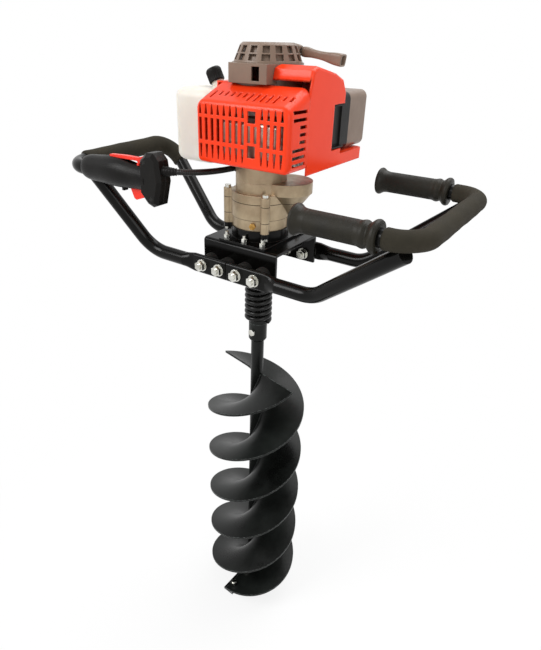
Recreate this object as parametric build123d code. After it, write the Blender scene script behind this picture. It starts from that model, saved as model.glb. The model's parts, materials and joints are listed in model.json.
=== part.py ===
from build123d import *
from math import atan2, cos, degrees, hypot, pi, radians, sin, sqrt, tan
import os

os.makedirs("parts", exist_ok=True)

# Earth auger. Millimetres, +Z up, origin at the tip of the bit on the drilling axis.
# +X points to the handle with two rubber grips, -Y to the muffler guard.

# Fits
running_fit = 0.05
loose_fit = 0.3
sleeve_fit = 0.1
hole_fit = 0.4

# Drilling bit
bit_radius = 100.0
bit_lead = 224.4
flight_plate = 4.5
flight_top = 612.5
flight_top_azimuth = 167.4
flight_turns = 2.725
flight_bend_start = 820.0
flight_end_drop = 55.3
shaft_radius = 12.5
shaft_bottom = 34.0
shaft_socket_depth = 40.0
point_width = 44.0
point_plate = 7.0
point_top = 48.0
blade_inner = 24.0
blade_width = 26.0
blade_plate = 5.0
blade_lip = 7.0
blade_bolt_radius = 4.0

# Coupling with its damper spring
collar_radius = 17.5
collar_bottom = 690.0
collar_top = 727.0
cross_bolt_height = 711.0
cross_bolt_radius = 4.0
cross_bolt_head = 6.0
spring_radius = 26.0
spring_wire = 4.8
spring_pitch = 10.9
spring_bottom = 728.5
spring_turns = 9
spring_core_radius = 16.0

# Channel bracket
channel_left = -73.0
channel_right = 77.0
channel_half_width = 66.0
channel_depth = 52.3
channel_plate = 5.0
channel_bend = 6.0
channel_hole = 27.0

# Handle frame
tube_radius = 12.5
tube_wall = 2.0
rail_height = 860.0
rail_below_channel = 39.5
channel_top = rail_height + rail_below_channel
rail_offset = 90.0
rail_flat_height = 33.0
rail_flat_depth = 10.0
rail_split = -4.0
left_bend_x = -176.0
right_bend_x = 162.0
left_bar_x = -321.0
left_bar_rise = 143.0
left_bar_z = rail_height + left_bar_rise
left_bar_back_rise = 7.0
left_bar_back_y = 122.0
left_elbow = 42.0
throttle_arm_y = -140.0
throttle_arm_end = -172.0
right_bar_x = 327.0
right_arm_y = 140.6
right_arm_rise = 134.0
right_arm_z = rail_height + right_arm_rise
right_arm_end = 151.0
right_elbow = 42.0
low_elbow = 55.0
foam_radius = 16.5
sleeve_radius = 14.6
foam_front_y = -104.0
sleeve_start_x = 281.0

# Rubber grips
grip_radius = 17.0
grip_flange_radius = 22.5
grip_flange = 5.0
grip_inner_x = 153.0
grip_outer_x = 270.0
grip_groove_x = 257.0
grip_groove = 3.0

# Bolts of the handle frame
frame_bolt_pitch = 36.3
frame_bolt_centre = 0.2
frame_bolt_radius = 5.0
frame_nut_across = 16.0
frame_nut = 8.0
frame_washer_radius = 10.5
frame_washer = 2.0
buffer_radius = 14.5

# Gearbox on the drilling axis
flange_plate = 4.0
flange_plate_x = (-41.0, 53.0)
flange_plate_half_y = 64.0
flange_radius = 50.0
flange_height = 22.5
flange_top = channel_top + flange_height
lower_case_radius = 48.0
lower_case_height = 18.0
lower_case_top = flange_top + lower_case_height
middle_case_radius = 50.0
middle_case_height = 27.0
middle_case_top = lower_case_top + middle_case_height
upper_case_radius = 50.0
shoulder_height = 15.0
upper_case_shoulder = middle_case_top + shoulder_height
upper_case_height = 33.0
upper_case_top = middle_case_top + upper_case_height
neck_radius = 43.0
case_wall = 3.0
case_ear_radius = 7.5
case_ear_offset = 57.0
case_ear_azimuths = (-48.0, 96.0, 151.0, 206.0)
case_bolt_radius = 3.0
case_bolt_head = 5.2

# Gears
gear_module = 1.25
lay_azimuth = 27.0
output_teeth = 61
lay_pinion_teeth = 9
lay_gear_teeth = 60
input_teeth = 10
output_gear_low = flange_top + 13.0
output_gear_face = 15.0
lay_gear_low = upper_case_shoulder + 3.0
lay_gear_face = 9.0
output_shaft_radius = 10.0
output_shaft_top = middle_case_top - 1.0
lay_shaft_radius = 5.0
lay_shaft_journal = 4.0

# Clutch
clutch_housing_height = 26.0
clutch_housing_top = upper_case_top + clutch_housing_height
clutch_floor = 7.0
drum_radius = 38.0
drum_wall = 2.5
drum_low = upper_case_top + 9.0
drum_height = 15.0
drum_high = drum_low + drum_height
shoe_gap = 1.5
shoe_low = drum_low + 4.5
shoe_high = drum_high - 1.0
drum_shaft_radius = 5.0

# Engine core
crank_radius = 8.0
crank_throw = 16.5
crank_pin_radius = 6.0
crank_web = 9.0
crank_web_radius = 27.0
crankcase_low = clutch_housing_top + 2.0
crank_above_case_foot = 38.0
cylinder_height = crankcase_low + crank_above_case_foot
case_above_crank = 35.0
crankcase_high = cylinder_height + case_above_crank
crankcase_half = 38.0
bearing_face = 9.0
bearing_wall = 9.0
cylinder_bore = 22.0
cylinder_end = 97.0
cylinder_fin = 31.0
fin_pitch = 6.0
fin_plate = 2.0
flywheel_radius = 50.0
flywheel_low = crankcase_high + 3.0
flywheel_disc = 7.0
fan_height = 30.0
fan_high = flywheel_low + fan_height
fan_blades = 14

# Recoil starter
starter_centre = (5.0, 4.0)
starter_above_fan = 43.0
starter_low = fan_high + starter_above_fan
starter_height = 27.0
starter_high = starter_low + starter_height
starter_low_radius = 53.0
starter_high_radius = 41.0
starter_wall = 2.5
starter_windows = 15
window_half = 6.2
high_window_half = 5.2
liner_gap = 2.5
liner_wall = 1.4
reel_radius = 31.0
reel_height = 14.0
reel_low = starter_low + 3.0
reel_high = reel_low + reel_height
rope_radius = 2.0
handle_start = (45.0, 40.0, starter_low + 15.5)
handle_drop = 10.5
handle_reach = 70.0
handle_radius = 8.0
fan_housing_low = fan_high + 3.0
fan_housing_x = (-26.0, 46.0)
fan_housing_front = -60.0
fan_housing_radius = 55.0
fan_front_low = fan_housing_low + 13.0
fan_front_corner = 7.0
front_slot_x = (19.0, 33.0)
front_slot_height = 19.0

# Covers
cover_wall = 2.5
engine_left = -55.0
engine_right = 112.0
guard_front = -100.0
guard_back = -46.0
guard_bottom = crankcase_low + 9.0
guard_height = 89.0
guard_top = guard_bottom + guard_height
guard_back_rise = 23.0
guard_back_top = guard_top + guard_back_rise
guard_corner = 9.0
guard_top_corner = 15.0
guard_edge = 6.5
slot_columns = 14
slot_first_x = -45.0
slot_pitch = 11.2
slot_width = 5.6
slot_taper = 0.35
short_top_slots = (2, 3, 4, 5, 6, 12, 13)
slot_rows = ((8.0, 28.0), (34.0, 66.0), (71.0, 85.0))
window_x = 49.0
window_width = 14.0
window_rows = ((17.0, 34.0), (65.0, 81.0))
window_bridge = 4.0
vent_count = 8
vent_below_top = 4.0
vent_pitch = 10.2
vent_height = 4.6
short_vents = (2, 3, 4)
shroud_bottom = crankcase_low
shroud_front_top = guard_back_top + 1.0
shroud_high = shroud_front_top + 26.5
shroud_profile = (
    (-40.0, shroud_high - 5.0),
    (-28.0, shroud_high),
    (30.0, shroud_high - 11.0),
    (54.0, shroud_high - 20.0),
    (66.0, shroud_high - 38.0),
    (66.0, shroud_bottom + 32.0),
    (58.0, shroud_bottom),
)
shroud_edge = 5.0
tray_left = 20.0
tray_back = 145.0
tray_height = 18.0
tray_corner = 12.0

# Intake and fuel
air_left = 34.0
air_right = 104.0
air_bottom = shroud_bottom + 19.0
air_top = air_bottom + 89.0
air_split = 98.0
air_front = 70.0
air_back = 158.0
tank_left = -140.0
tank_half = 60.0
scoop_right = 110.0
scoop_front = 30.0
scoop_height = 66.0
scoop_wall = 2.5
tank_bottom = crankcase_low - 5.0
tank_height = 114.0
tank_top = tank_bottom + tank_height
tank_wall = 2.2
tank_corner = 20.0
cap_radius = 13.0
cap_height = 22.0
cap_lean = 28.0

# Throttle grip
grip_half_depth = 16.0
barrel_half_depth = 21.0
barrel_half_height = 25.0
throttle_slot = 9.0
trigger_plate = 8.0


def save(node, *shapes):
    """Write the solids of one node to its file."""
    solids = [solid for shape in shapes for solid in shape.solids()]
    export_step(solids[0] if len(solids) == 1 else Compound(solids), f"parts/{node}.step")


def rod(start, direction, radius, length):
    """A cylinder that starts at a point and runs along a direction."""
    return Solid.make_cylinder(radius, length, Plane(origin=start, z_dir=direction))


def disc(radius, low, high, x=0.0, y=0.0):
    """An upright cylinder between two heights."""
    return rod((x, y, low), (0, 0, 1), radius, high - low)


def ring(outer, inner, low, high, x=0.0, y=0.0):
    """An upright ring between two heights."""
    return disc(outer, low, high, x, y) - disc(inner, low - 1, high + 1, x, y)


def block(x_range, y_range, z_range):
    """A box between two corners."""
    size = [high - low for low, high in (x_range, y_range, z_range)]
    centre = [(low + high) / 2 for low, high in (x_range, y_range, z_range)]
    return Pos(*centre) * Box(*size)


def side_prism(points, y_low, y_high):
    """An outline of X and Z points, carried along Y."""
    face = make_face(Polyline(*[(x, y_low, z) for x, z in points], close=True))
    return extrude(face, amount=y_high - y_low, dir=(0, 1, 0))


def end_prism(points, x_low, x_high):
    """An outline of Y and Z points, carried along X."""
    face = make_face(Polyline(*[(x_low, y, z) for y, z in points], close=True))
    return extrude(face, amount=x_high - x_low, dir=(1, 0, 0))


def turned(points, x=0.0, y=0.0):
    """An outline of radius and height points, turned about an upright axis."""
    face = make_face(Polyline(*[(r, 0, z) for r, z in points], close=True))
    return Pos(x, y, 0) * revolve(face, Axis.Z)


def hexagon(centre, direction, across, height):
    """A hexagonal nut or bolt head."""
    plane = Plane(origin=centre, z_dir=direction)
    return extrude(plane * RegularPolygon(across / 2, 6, major_radius=False), amount=height)


def bar(path, radius, inner=0.0):
    """A round bar or tube along a path of straight runs and arcs."""
    start = Plane(origin=path @ 0, z_dir=path % 0)
    outside = sweep(start * Circle(radius), path=path)
    if not inner:
        return outside
    return outside - sweep(start * Circle(inner), path=path)


# Bit: the flights rise anticlockwise seen from above, and flatten over the last part of their lowest turn.
flight_sweep = flight_turns * 360
bend_slope = bit_lead / 360
bend_length = flight_sweep - flight_bend_start
end_slope = 2 * flight_end_drop / bend_length - bend_slope


def flight_height(turned_by):
    """Middle height of the plate, by the angle that it has come down from its top end."""
    height = flight_top - bend_slope * min(turned_by, flight_bend_start)
    past = max(turned_by - flight_bend_start, 0.0)
    return height - bend_slope * past - (end_slope - bend_slope) * past**2 / (2 * bend_length)


def flight_edge(top_azimuth, radius, lift):
    """One long edge of a flight, through a point every 15 degrees or so."""
    steps = round(flight_sweep / 15)
    points = []
    for step in range(steps + 1):
        turned_by = flight_sweep * step / steps
        azimuth = radians(top_azimuth - turned_by)
        points.append((radius * cos(azimuth), radius * sin(azimuth), flight_height(turned_by) + lift))
    return Edge.make_spline([Vector(*point) for point in points])


def flight(top_azimuth):
    """A helical plate welded to the shaft along its inner edge."""
    half = flight_plate / 2
    inner_low = flight_edge(top_azimuth, shaft_radius, -half)
    inner_high = flight_edge(top_azimuth, shaft_radius, half)
    outer_low = flight_edge(top_azimuth, bit_radius, -half)
    outer_high = flight_edge(top_azimuth, bit_radius, half)
    faces = [
        Face.make_surface_from_curves(inner_low, outer_low),
        Face.make_surface_from_curves(inner_high, outer_high),
        Face.make_surface_from_curves(inner_low, inner_high),
        Face.make_surface_from_curves(outer_low, outer_high),
    ]
    for end in (0, 1):
        corners = [inner_low @ end, outer_low @ end, outer_high @ end, inner_high @ end]
        faces.append(Face(Wire.make_polygon(corners)))
    return Solid(Shell(faces))


flight_azimuths = (flight_top_azimuth, flight_top_azimuth - 180)
flight_end_height = flight_height(flight_sweep)
shaft_top = collar_bottom + shaft_socket_depth - 8

tang_slot = block((-shaft_radius, shaft_radius), (-point_plate / 2, point_plate / 2), (shaft_bottom - 1, point_top))
cross_bore = rod((0, -60, cross_bolt_height), (0, 1, 0), cross_bolt_radius + running_fit, 120)
bit_shaft = disc(shaft_radius, shaft_bottom, shaft_top) - tang_slot - cross_bore
save("bit_shaft", bit_shaft)

half_point = point_width / 2
point_outline = (
    (0, 0),
    (6, 14),
    (half_point, 22),
    (half_point - 4, 30),
    (shaft_radius, shaft_bottom - 0.5),
    (shaft_radius, point_top),
    (-shaft_radius, point_top),
    (-shaft_radius, shaft_bottom - 0.5),
    (4 - half_point, 30),
    (-half_point, 22),
    (-6, 14),
)
point = side_prism(point_outline, -point_plate / 2, point_plate / 2)
save("centre_point", point & (disc(half_point + 1, 0, point_top)))

flights = []
blades = []
blade_bolts = []
blade_high = flight_end_height - flight_plate / 2
blade_low = blade_high - blade_plate
blade_head = 4.0
blade_nut_low = flight_end_height + flight_plate / 2 + 4.0
for azimuth in flight_azimuths:
    turn = Rot(0, 0, azimuth - flight_sweep)
    plate = flight(azimuth)
    blade = turn * block((blade_inner, bit_radius - 1), (-blade_lip, blade_width - blade_lip), (blade_low, blade_high))
    for reach in (blade_inner + 14, bit_radius - 18):
        spot = turn * Pos(reach, blade_width / 2 - blade_lip + 2, 0)
        hole = spot * disc(blade_bolt_radius + hole_fit, blade_low - 1, blade_nut_low + 2)
        blade -= hole
        plate -= hole
        shank = disc(blade_bolt_radius, blade_low, blade_nut_low + 8)
        head = disc(blade_bolt_radius + 3, blade_low - blade_head, blade_low)
        nut = hexagon((0, 0, blade_nut_low), (0, 0, 1), 12, 6)
        blade_bolts.append(spot * (shank + head + nut))
    flights.append(plate)
    blades.append(blade)
save("bit_flights", *flights)
save("cutting_blades", *blades)
save("blade_bolts", *blade_bolts)

# Coupling: a socket collar pinned to the shaft, the damper spring, and a hub on the output shaft.
spring_top = spring_bottom + spring_turns * spring_pitch
hub_top = spring_top + spring_wire
shaft_bore = disc(shaft_radius + running_fit, collar_bottom - 1, shaft_top + 1)
collar = turned((
    (0, collar_bottom),
    (collar_radius - 2, collar_bottom),
    (collar_radius, collar_bottom + 3),
    (collar_radius, collar_top),
    (0, collar_top),
))
collar += turned((
    (0, collar_top - 4),
    (collar_radius, collar_top - 4),
    (spring_core_radius, collar_top + 2 * spring_wire),
    (0, collar_top + 2 * spring_wire),
))
save("bit_collar", collar - shaft_bore - cross_bore)

cross_bolt = rod((0, -collar_radius, cross_bolt_height), (0, 1, 0), cross_bolt_radius, 2 * collar_radius + 8)
cross_bolt += hexagon((0, -collar_radius, cross_bolt_height), (0, -1, 0), 2 * cross_bolt_head, 5)
cross_bolt += hexagon((0, collar_radius, cross_bolt_height), (0, 1, 0), 2 * cross_bolt_head, 6)
save("cross_bolt", cross_bolt)

coil_radius = spring_radius - spring_wire
coil = Pos(0, 0, spring_bottom + spring_wire) * Helix(
    pitch=spring_pitch, height=spring_turns * spring_pitch - 2 * spring_wire, radius=coil_radius
)
spring = sweep(Plane(origin=coil @ 0, z_dir=coil % 0) * Circle(spring_wire), path=coil, is_frenet=True)
save("damper_spring", spring)

hub_low = spring_top - 3 * spring_wire
output_bottom = hub_low + 6
output_bore = disc(output_shaft_radius + running_fit, output_bottom, hub_top + 30)
hub = disc(spring_core_radius, hub_low, hub_top + 4) + disc(spring_radius, spring_top + loose_fit, hub_top + 4)
save("spring_hub", hub - output_bore)

# Gear outlines
pressure = radians(20)


def gear(teeth, low, face_width, tooth_azimuth, tip=0.8, slack=0.18):
    """A spur gear with involute flanks, one tooth at the given azimuth.

    The flank at radius r stands off the tooth's middle by the pitch half angle less the change of the
    involute angle, tan(a) - a, where cos(a) is base radius over r. Slack thins each tooth.
    """
    pitch_radius = gear_module * teeth / 2
    base = pitch_radius * cos(pressure)
    root = pitch_radius - 1.2 * gear_module
    top = pitch_radius + tip * gear_module
    half_tooth = pi / (2 * teeth) - slack / pitch_radius
    half_tooth += tan(pressure) - pressure
    foot = max(base, root)
    flank = [(root, half_tooth - 0.02)] if root < base else []
    for step in range(4):
        r = foot + (top - foot) * step / 3
        angle = sqrt(max((r / base) ** 2 - 1, 0))
        flank.append((r, half_tooth - angle + atan2(angle, 1)))
    outline = []
    for tooth in range(teeth):
        middle = radians(tooth_azimuth) + 2 * pi * tooth / teeth
        for r, off in flank:
            outline.append((r * cos(middle - off), r * sin(middle - off)))
        for r, off in reversed(flank):
            outline.append((r * cos(middle + off), r * sin(middle + off)))
    blank = make_face(Polyline(*outline, close=True))
    return Pos(0, 0, low) * extrude(blank, amount=face_width, dir=(0, 0, 1))


lay_distance = gear_module * (output_teeth + lay_pinion_teeth) / 2
lay_x = lay_distance * cos(radians(lay_azimuth))
lay_y = lay_distance * sin(radians(lay_azimuth))
facing = lay_azimuth + 180

output_shaft = disc(output_shaft_radius, output_bottom + running_fit, output_shaft_top)
save("output_shaft", output_shaft)
gear_bore = disc(output_shaft_radius + running_fit, output_gear_low - 1, output_gear_low + output_gear_face + 1)
wheel_tip = 0.5
output_gear = gear(output_teeth, output_gear_low, output_gear_face, lay_azimuth, wheel_tip) - gear_bore
save("output_gear", output_gear)

lay_low = flange_top + case_wall
lay_gear_high = lay_gear_low + lay_gear_face
pinion = gear(lay_pinion_teeth, output_gear_low - 1, output_gear_face + 2, facing + 180 / lay_pinion_teeth)
lay_wheel = gear(lay_gear_teeth, lay_gear_low, lay_gear_face, facing, wheel_tip)
spindle = disc(lay_shaft_radius, output_gear_low - 3, lay_gear_high + 1)
spindle += disc(lay_shaft_journal, lay_low, upper_case_top - 1)
save("layshaft", Pos(lay_x, lay_y, 0) * (pinion + lay_wheel + spindle))

# Gearbox cases: round on the drilling axis, with a lobe for the layshaft's large gear.
lay_gear_radius = gear_module * (lay_gear_teeth / 2 + 1)
lobe_inner = lay_gear_radius + 1.5
lobe_outer = lobe_inner + case_wall
pinion_room = gear_module * (lay_pinion_teeth / 2 + 1) + 1
pinion_boss = pinion_room + case_wall
lobe_floor = lay_gear_low - 1.5 - case_wall
lobe_middle = lobe_outer - 11.0
output_gear_room = gear_module * (output_teeth / 2 + 1) + 1.5
lay_bush = disc(lay_shaft_journal + running_fit, lay_low - 0.5, upper_case_top - 1 + 0.2, lay_x, lay_y)
bearing_radius = output_shaft_radius + 11
output_passage = disc(output_shaft_radius + 1.5, channel_top - 9, output_shaft_top + 1)
low_bearing = (flange_top - 4 - bearing_face, flange_top - 4)
high_bearing = (middle_case_top - 2 - bearing_face, middle_case_top - 2)
gear_room = (flange_top + case_wall + 5, output_gear_low + output_gear_face + 2)


ear_web_half = 6.5


def case_ears(low, high):
    """Four upright ears, each with the web that joins it to the case."""
    ears = []
    for azimuth in case_ear_azimuths:
        x = case_ear_offset * cos(radians(azimuth))
        y = case_ear_offset * sin(radians(azimuth))
        ears.append(disc(case_ear_radius, low, high, x, y))
        web_x = (lower_case_radius - case_wall, case_ear_offset)
        ears.append(Rot(0, 0, azimuth) * block(web_x, (-ear_web_half, ear_web_half), (low, high)))
    return ears


def case_holes(low, high, radius):
    """The bolt holes, or the bolts, of the four ears."""
    holes = []
    for azimuth in case_ear_azimuths:
        x = case_ear_offset * cos(radians(azimuth))
        y = case_ear_offset * sin(radians(azimuth))
        holes.append(disc(radius, low, high, x, y))
    return holes


case_bores = case_holes(channel_top + flange_plate, upper_case_shoulder + 1, case_bolt_radius + hole_fit)
plate = block(flange_plate_x, (-flange_plate_half_y, flange_plate_half_y), (channel_top, channel_top + flange_plate))
flange = plate + disc(flange_radius, channel_top, flange_top) + case_ears(flange_top - 8, flange_top)
flange -= output_passage
flange -= disc(bearing_radius, low_bearing[0], flange_top + 1)
flange -= case_bores

plug_azimuth = atan2(-45, 16)
plug_direction = (cos(plug_azimuth), sin(plug_azimuth), 0)
plug_height = 931.0
plug_radius = 5.0
plug_start = (lower_case_radius - 4) * cos(plug_azimuth), (lower_case_radius - 4) * sin(plug_azimuth), plug_height
plug = rod(plug_start, plug_direction, plug_radius - 1, 4.5)
plug_seat = (lower_case_radius + 0.5) * cos(plug_azimuth), (lower_case_radius + 0.5) * sin(plug_azimuth), plug_height
plug += hexagon(plug_seat, plug_direction, 2 * plug_radius, 4)
save("brass_plug", plug)

lower_case = disc(lower_case_radius, flange_top, lower_case_top)
lower_case += disc(pinion_boss, flange_top, lower_case_top, lay_x, lay_y)
lower_case += case_ears(flange_top, lower_case_top)
lower_case -= disc(output_gear_room, gear_room[0], lower_case_top + 1)
lower_case -= disc(pinion_room, gear_room[0], lower_case_top + 1, lay_x, lay_y)
lower_case -= output_passage
lower_case -= lay_bush
lower_case -= case_bores
lower_case -= rod((0, 0, plug_height), plug_direction, plug_radius - 1 + running_fit, lower_case_radius + 1)
save("lower_case", lower_case)

middle_case = disc(middle_case_radius, lower_case_top, middle_case_top)
middle_case += disc(pinion_boss, lower_case_top, middle_case_top, lay_x, lay_y)
middle_case += turned((
    (0, lower_case_top),
    (pinion_boss, lower_case_top),
    (lobe_middle, middle_case_top),
    (0, middle_case_top),
), lay_x, lay_y)
middle_case += case_ears(lower_case_top, middle_case_top)
middle_case -= disc(output_gear_room, lower_case_top - 1, gear_room[1])
middle_case -= disc(pinion_room, lower_case_top - 1, gear_room[1], lay_x, lay_y)
middle_case -= disc(lay_shaft_radius + 1, lower_case_top, middle_case_top + 1, lay_x, lay_y)
middle_case -= disc(bearing_radius, *high_bearing)
middle_case -= output_passage
middle_case -= case_bores
save("middle_case", middle_case)

upper_case = disc(upper_case_radius, middle_case_top, upper_case_shoulder)
upper_case += disc(neck_radius, middle_case_top, upper_case_top)
upper_case += disc(lobe_outer, lobe_floor, upper_case_top, lay_x, lay_y)
upper_case += turned((
    (0, middle_case_top),
    (lobe_middle, middle_case_top),
    (lobe_outer, lobe_floor + 1),
    (0, lobe_floor + 1),
), lay_x, lay_y)
upper_case += case_ears(middle_case_top, upper_case_shoulder)
lobe_room = (lobe_floor + case_wall, upper_case_top - case_wall - 1)
upper_case -= disc(lobe_inner, *lobe_room, lay_x, lay_y)
upper_case -= disc(neck_radius - case_wall, middle_case_top + case_wall, lobe_floor)
upper_case -= disc(lay_shaft_radius + 1, middle_case_top - 1, lobe_floor + case_wall + 1, lay_x, lay_y)
input_radius = gear_module * (input_teeth / 2 + 1)
upper_case -= disc(input_radius + 1, lobe_floor - 1, upper_case_top + 1)
upper_case -= lay_bush
upper_case -= case_bores
save("upper_case", upper_case)

case_bolt_low = flange_top - 8
case_bolts = []
for azimuth in case_ear_azimuths:
    x = case_ear_offset * cos(radians(azimuth))
    y = case_ear_offset * sin(radians(azimuth))
    bolt = disc(case_bolt_radius, case_bolt_low - 5, upper_case_shoulder, x, y)
    bolt += disc(case_bolt_head, upper_case_shoulder, upper_case_shoulder + 5, x, y)
    bolt += hexagon((x, y, case_bolt_low - 5), (0, 0, 1), 2 * case_bolt_head, 5)
    case_bolts.append(bolt)

drum_bearing = (upper_case_top, upper_case_top + clutch_floor)
drum_bearing_radius = drum_shaft_radius + bearing_wall
clutch_housing = disc(neck_radius, upper_case_top, clutch_housing_top)
clutch_housing -= disc(neck_radius - case_wall, upper_case_top + clutch_floor, clutch_housing_top + 1)
clutch_housing -= disc(drum_bearing_radius, upper_case_top - 1, upper_case_top + clutch_floor + 1)
save("clutch_housing", clutch_housing)

input_low = lay_gear_low - 0.5
input_azimuth = lay_azimuth + 180 / input_teeth
clutch_drum = disc(drum_radius, drum_low, drum_high) - disc(drum_radius - drum_wall, drum_low + drum_wall, drum_high + 1)
clutch_drum += gear(input_teeth, input_low, lay_gear_face + 1, input_azimuth)
clutch_drum += disc(drum_shaft_radius, input_low, drum_low + 1)
save("clutch_drum", clutch_drum)

# Engine core
lower_crank_bearing = (crankcase_low + 5, crankcase_low + 5 + bearing_face)
upper_crank_bearing = (crankcase_high - 3 - bearing_face, crankcase_high - 3)
crank_bearing_radius = crank_radius + bearing_wall
web_low = (cylinder_height - 10 - crank_web, cylinder_height - 10)
web_high = (cylinder_height + 10, cylinder_height + 10 + crank_web)
crank_top = fan_high + 4
crankshaft = disc(crank_radius, shoe_low - 1, web_low[1]) + disc(crank_radius, web_high[0], crank_top)
crankshaft += disc(crank_pin_radius, web_low[1] - 1, web_high[0] + 1, crank_throw, 0)
for web in (web_low, web_high):
    web_shape = disc(crank_web_radius, *web) - block((6, 40), (11, 40), web) - block((6, 40), (-40, -11), web)
    crankshaft += web_shape
crankshaft += hexagon((0, 0, crank_top - 8), (0, 0, 1), 22, 7)

crank_room = crank_web_radius + 2
crankcase = block((-crankcase_half, crankcase_half), (-crankcase_half, crankcase_half), (crankcase_low, crankcase_high))
crankcase = fillet(crankcase.edges().filter_by(Axis.Z), 14)
crankcase += disc(neck_radius, clutch_housing_top, crankcase_low + 4)
crankcase -= disc(crank_room, web_low[0] - 2, web_high[1] + 2)
crankcase -= disc(crank_bearing_radius, *lower_crank_bearing)
crankcase -= disc(crank_bearing_radius, *upper_crank_bearing)
crankcase -= disc(crank_radius + 1, clutch_housing_top - 1, crankcase_high + 1)
spigot_bore = rod((0, 0, cylinder_height), (1, 0, 0), cylinder_bore + 2, crankcase_half + 1)
crankcase -= spigot_bore
shroud_ear = (crankcase_high - 12, crankcase_high - 8)
crankcase += block((engine_left + cover_wall, -crankcase_half), (-20, 20), shroud_ear)
save("crankcase", crankcase)

save(
    "bearings",
    ring(bearing_radius, output_shaft_radius + running_fit, *low_bearing),
    ring(bearing_radius, output_shaft_radius + running_fit, *high_bearing),
    ring(drum_bearing_radius, drum_shaft_radius + running_fit, *drum_bearing),
    ring(crank_bearing_radius, crank_radius + running_fit, *lower_crank_bearing),
    ring(crank_bearing_radius, crank_radius + running_fit, *upper_crank_bearing),
)

axis_x = (1, 0, 0)
cylinder = rod((crankcase_half, 0, cylinder_height), axis_x, cylinder_bore + 5, cylinder_end - crankcase_half)
fin_count = int((cylinder_end - crankcase_half - 8) / fin_pitch)
for fin in range(fin_count):
    fin_x = crankcase_half + 8 + fin * fin_pitch
    fin_z = (cylinder_height - cylinder_fin, cylinder_height + cylinder_fin)
    cylinder += block((fin_x, fin_x + fin_plate), (-cylinder_fin, cylinder_fin), fin_z)
head_wall = 7.0
cylinder -= rod((crankcase_half - 1, 0, cylinder_height), axis_x, cylinder_bore, cylinder_end - crankcase_half - head_wall)
plug_bore = rod((cylinder_end - head_wall - 2, 0, cylinder_height), axis_x, 5, 20)
save("cylinder", cylinder - plug_bore)
spark_plug = rod((cylinder_end - head_wall, 0, cylinder_height), axis_x, 5 - running_fit, head_wall)
spark_plug += hexagon((cylinder_end, 0, cylinder_height), axis_x, 14, 5)
spark_plug += rod((cylinder_end + 5, 0, cylinder_height), axis_x, 4, 5)
save("spark_plug", spark_plug)

piston_length = 30.0
piston_end = cylinder_end - head_wall - 3
piston_bore_fit = cylinder_bore - running_fit
piston = rod((piston_end - piston_length, 0, cylinder_height), axis_x, piston_bore_fit, piston_length)
piston -= rod((piston_end - piston_length - 1, 0, cylinder_height), axis_x, piston_bore_fit - 4, piston_length - 5)
pin_x = piston_end - piston_length / 2
wrist_pin = rod((pin_x, 0, cylinder_height - piston_bore_fit + 3), (0, 0, 1), 4, 2 * piston_bore_fit - 6)
piston += wrist_pin
rod_half = 5.0
rod_big = crank_pin_radius + 4
rod_z = (cylinder_height - rod_half, cylinder_height + rod_half)
connecting_rod = disc(rod_big, *rod_z, crank_throw, 0) + disc(8, *rod_z, pin_x, 0)
connecting_rod += block((crank_throw, pin_x), (-4.5, 4.5), rod_z)
pin_sweep_radius = crank_throw + crank_pin_radius + loose_fit
connecting_rod -= disc(pin_sweep_radius, cylinder_height - 9, cylinder_height + 9)
connecting_rod -= disc(4 + running_fit, cylinder_height - 9, cylinder_height + 9, pin_x, 0)
connecting_rod = connecting_rod.solids().sort_by(SortBy.VOLUME)[-1]
save("piston_and_rod", piston, connecting_rod)

shoe_outer = drum_radius - drum_wall - shoe_gap
shoe_hub = 14.0
shoe_slot = 2.0
shoes = []
for side in (-1, 1):
    half_plane = block(
        (-shoe_outer - 1, shoe_outer + 1),
        sorted((side * shoe_slot, side * (shoe_outer + 1))),
        (shoe_low, shoe_high),
    )
    shoes.append(ring(shoe_outer, shoe_hub, shoe_low, shoe_high) & half_plane)
carrier = disc(shoe_hub - loose_fit, shoe_low, shoe_high + 1)
spoke_half = shoe_slot - loose_fit
carrier += block((-shoe_outer + 6, shoe_outer - 6), (-spoke_half, spoke_half), (shoe_low, shoe_high))
save("clutch_shoes", *shoes)
save("crankshaft", crankshaft + carrier)

flywheel = ring(flywheel_radius, crank_radius, flywheel_low, flywheel_low + flywheel_disc)
flywheel += ring(crank_radius + 9, crank_radius, flywheel_low, fan_high - 8)
for blade_number in range(fan_blades):
    fan_blade = block((28, flywheel_radius - 1), (-1, 1), (flywheel_low + flywheel_disc - 1, fan_high))
    flywheel += Rot(0, 0, 360 * blade_number / fan_blades) * fan_blade
save("flywheel", flywheel)

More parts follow.
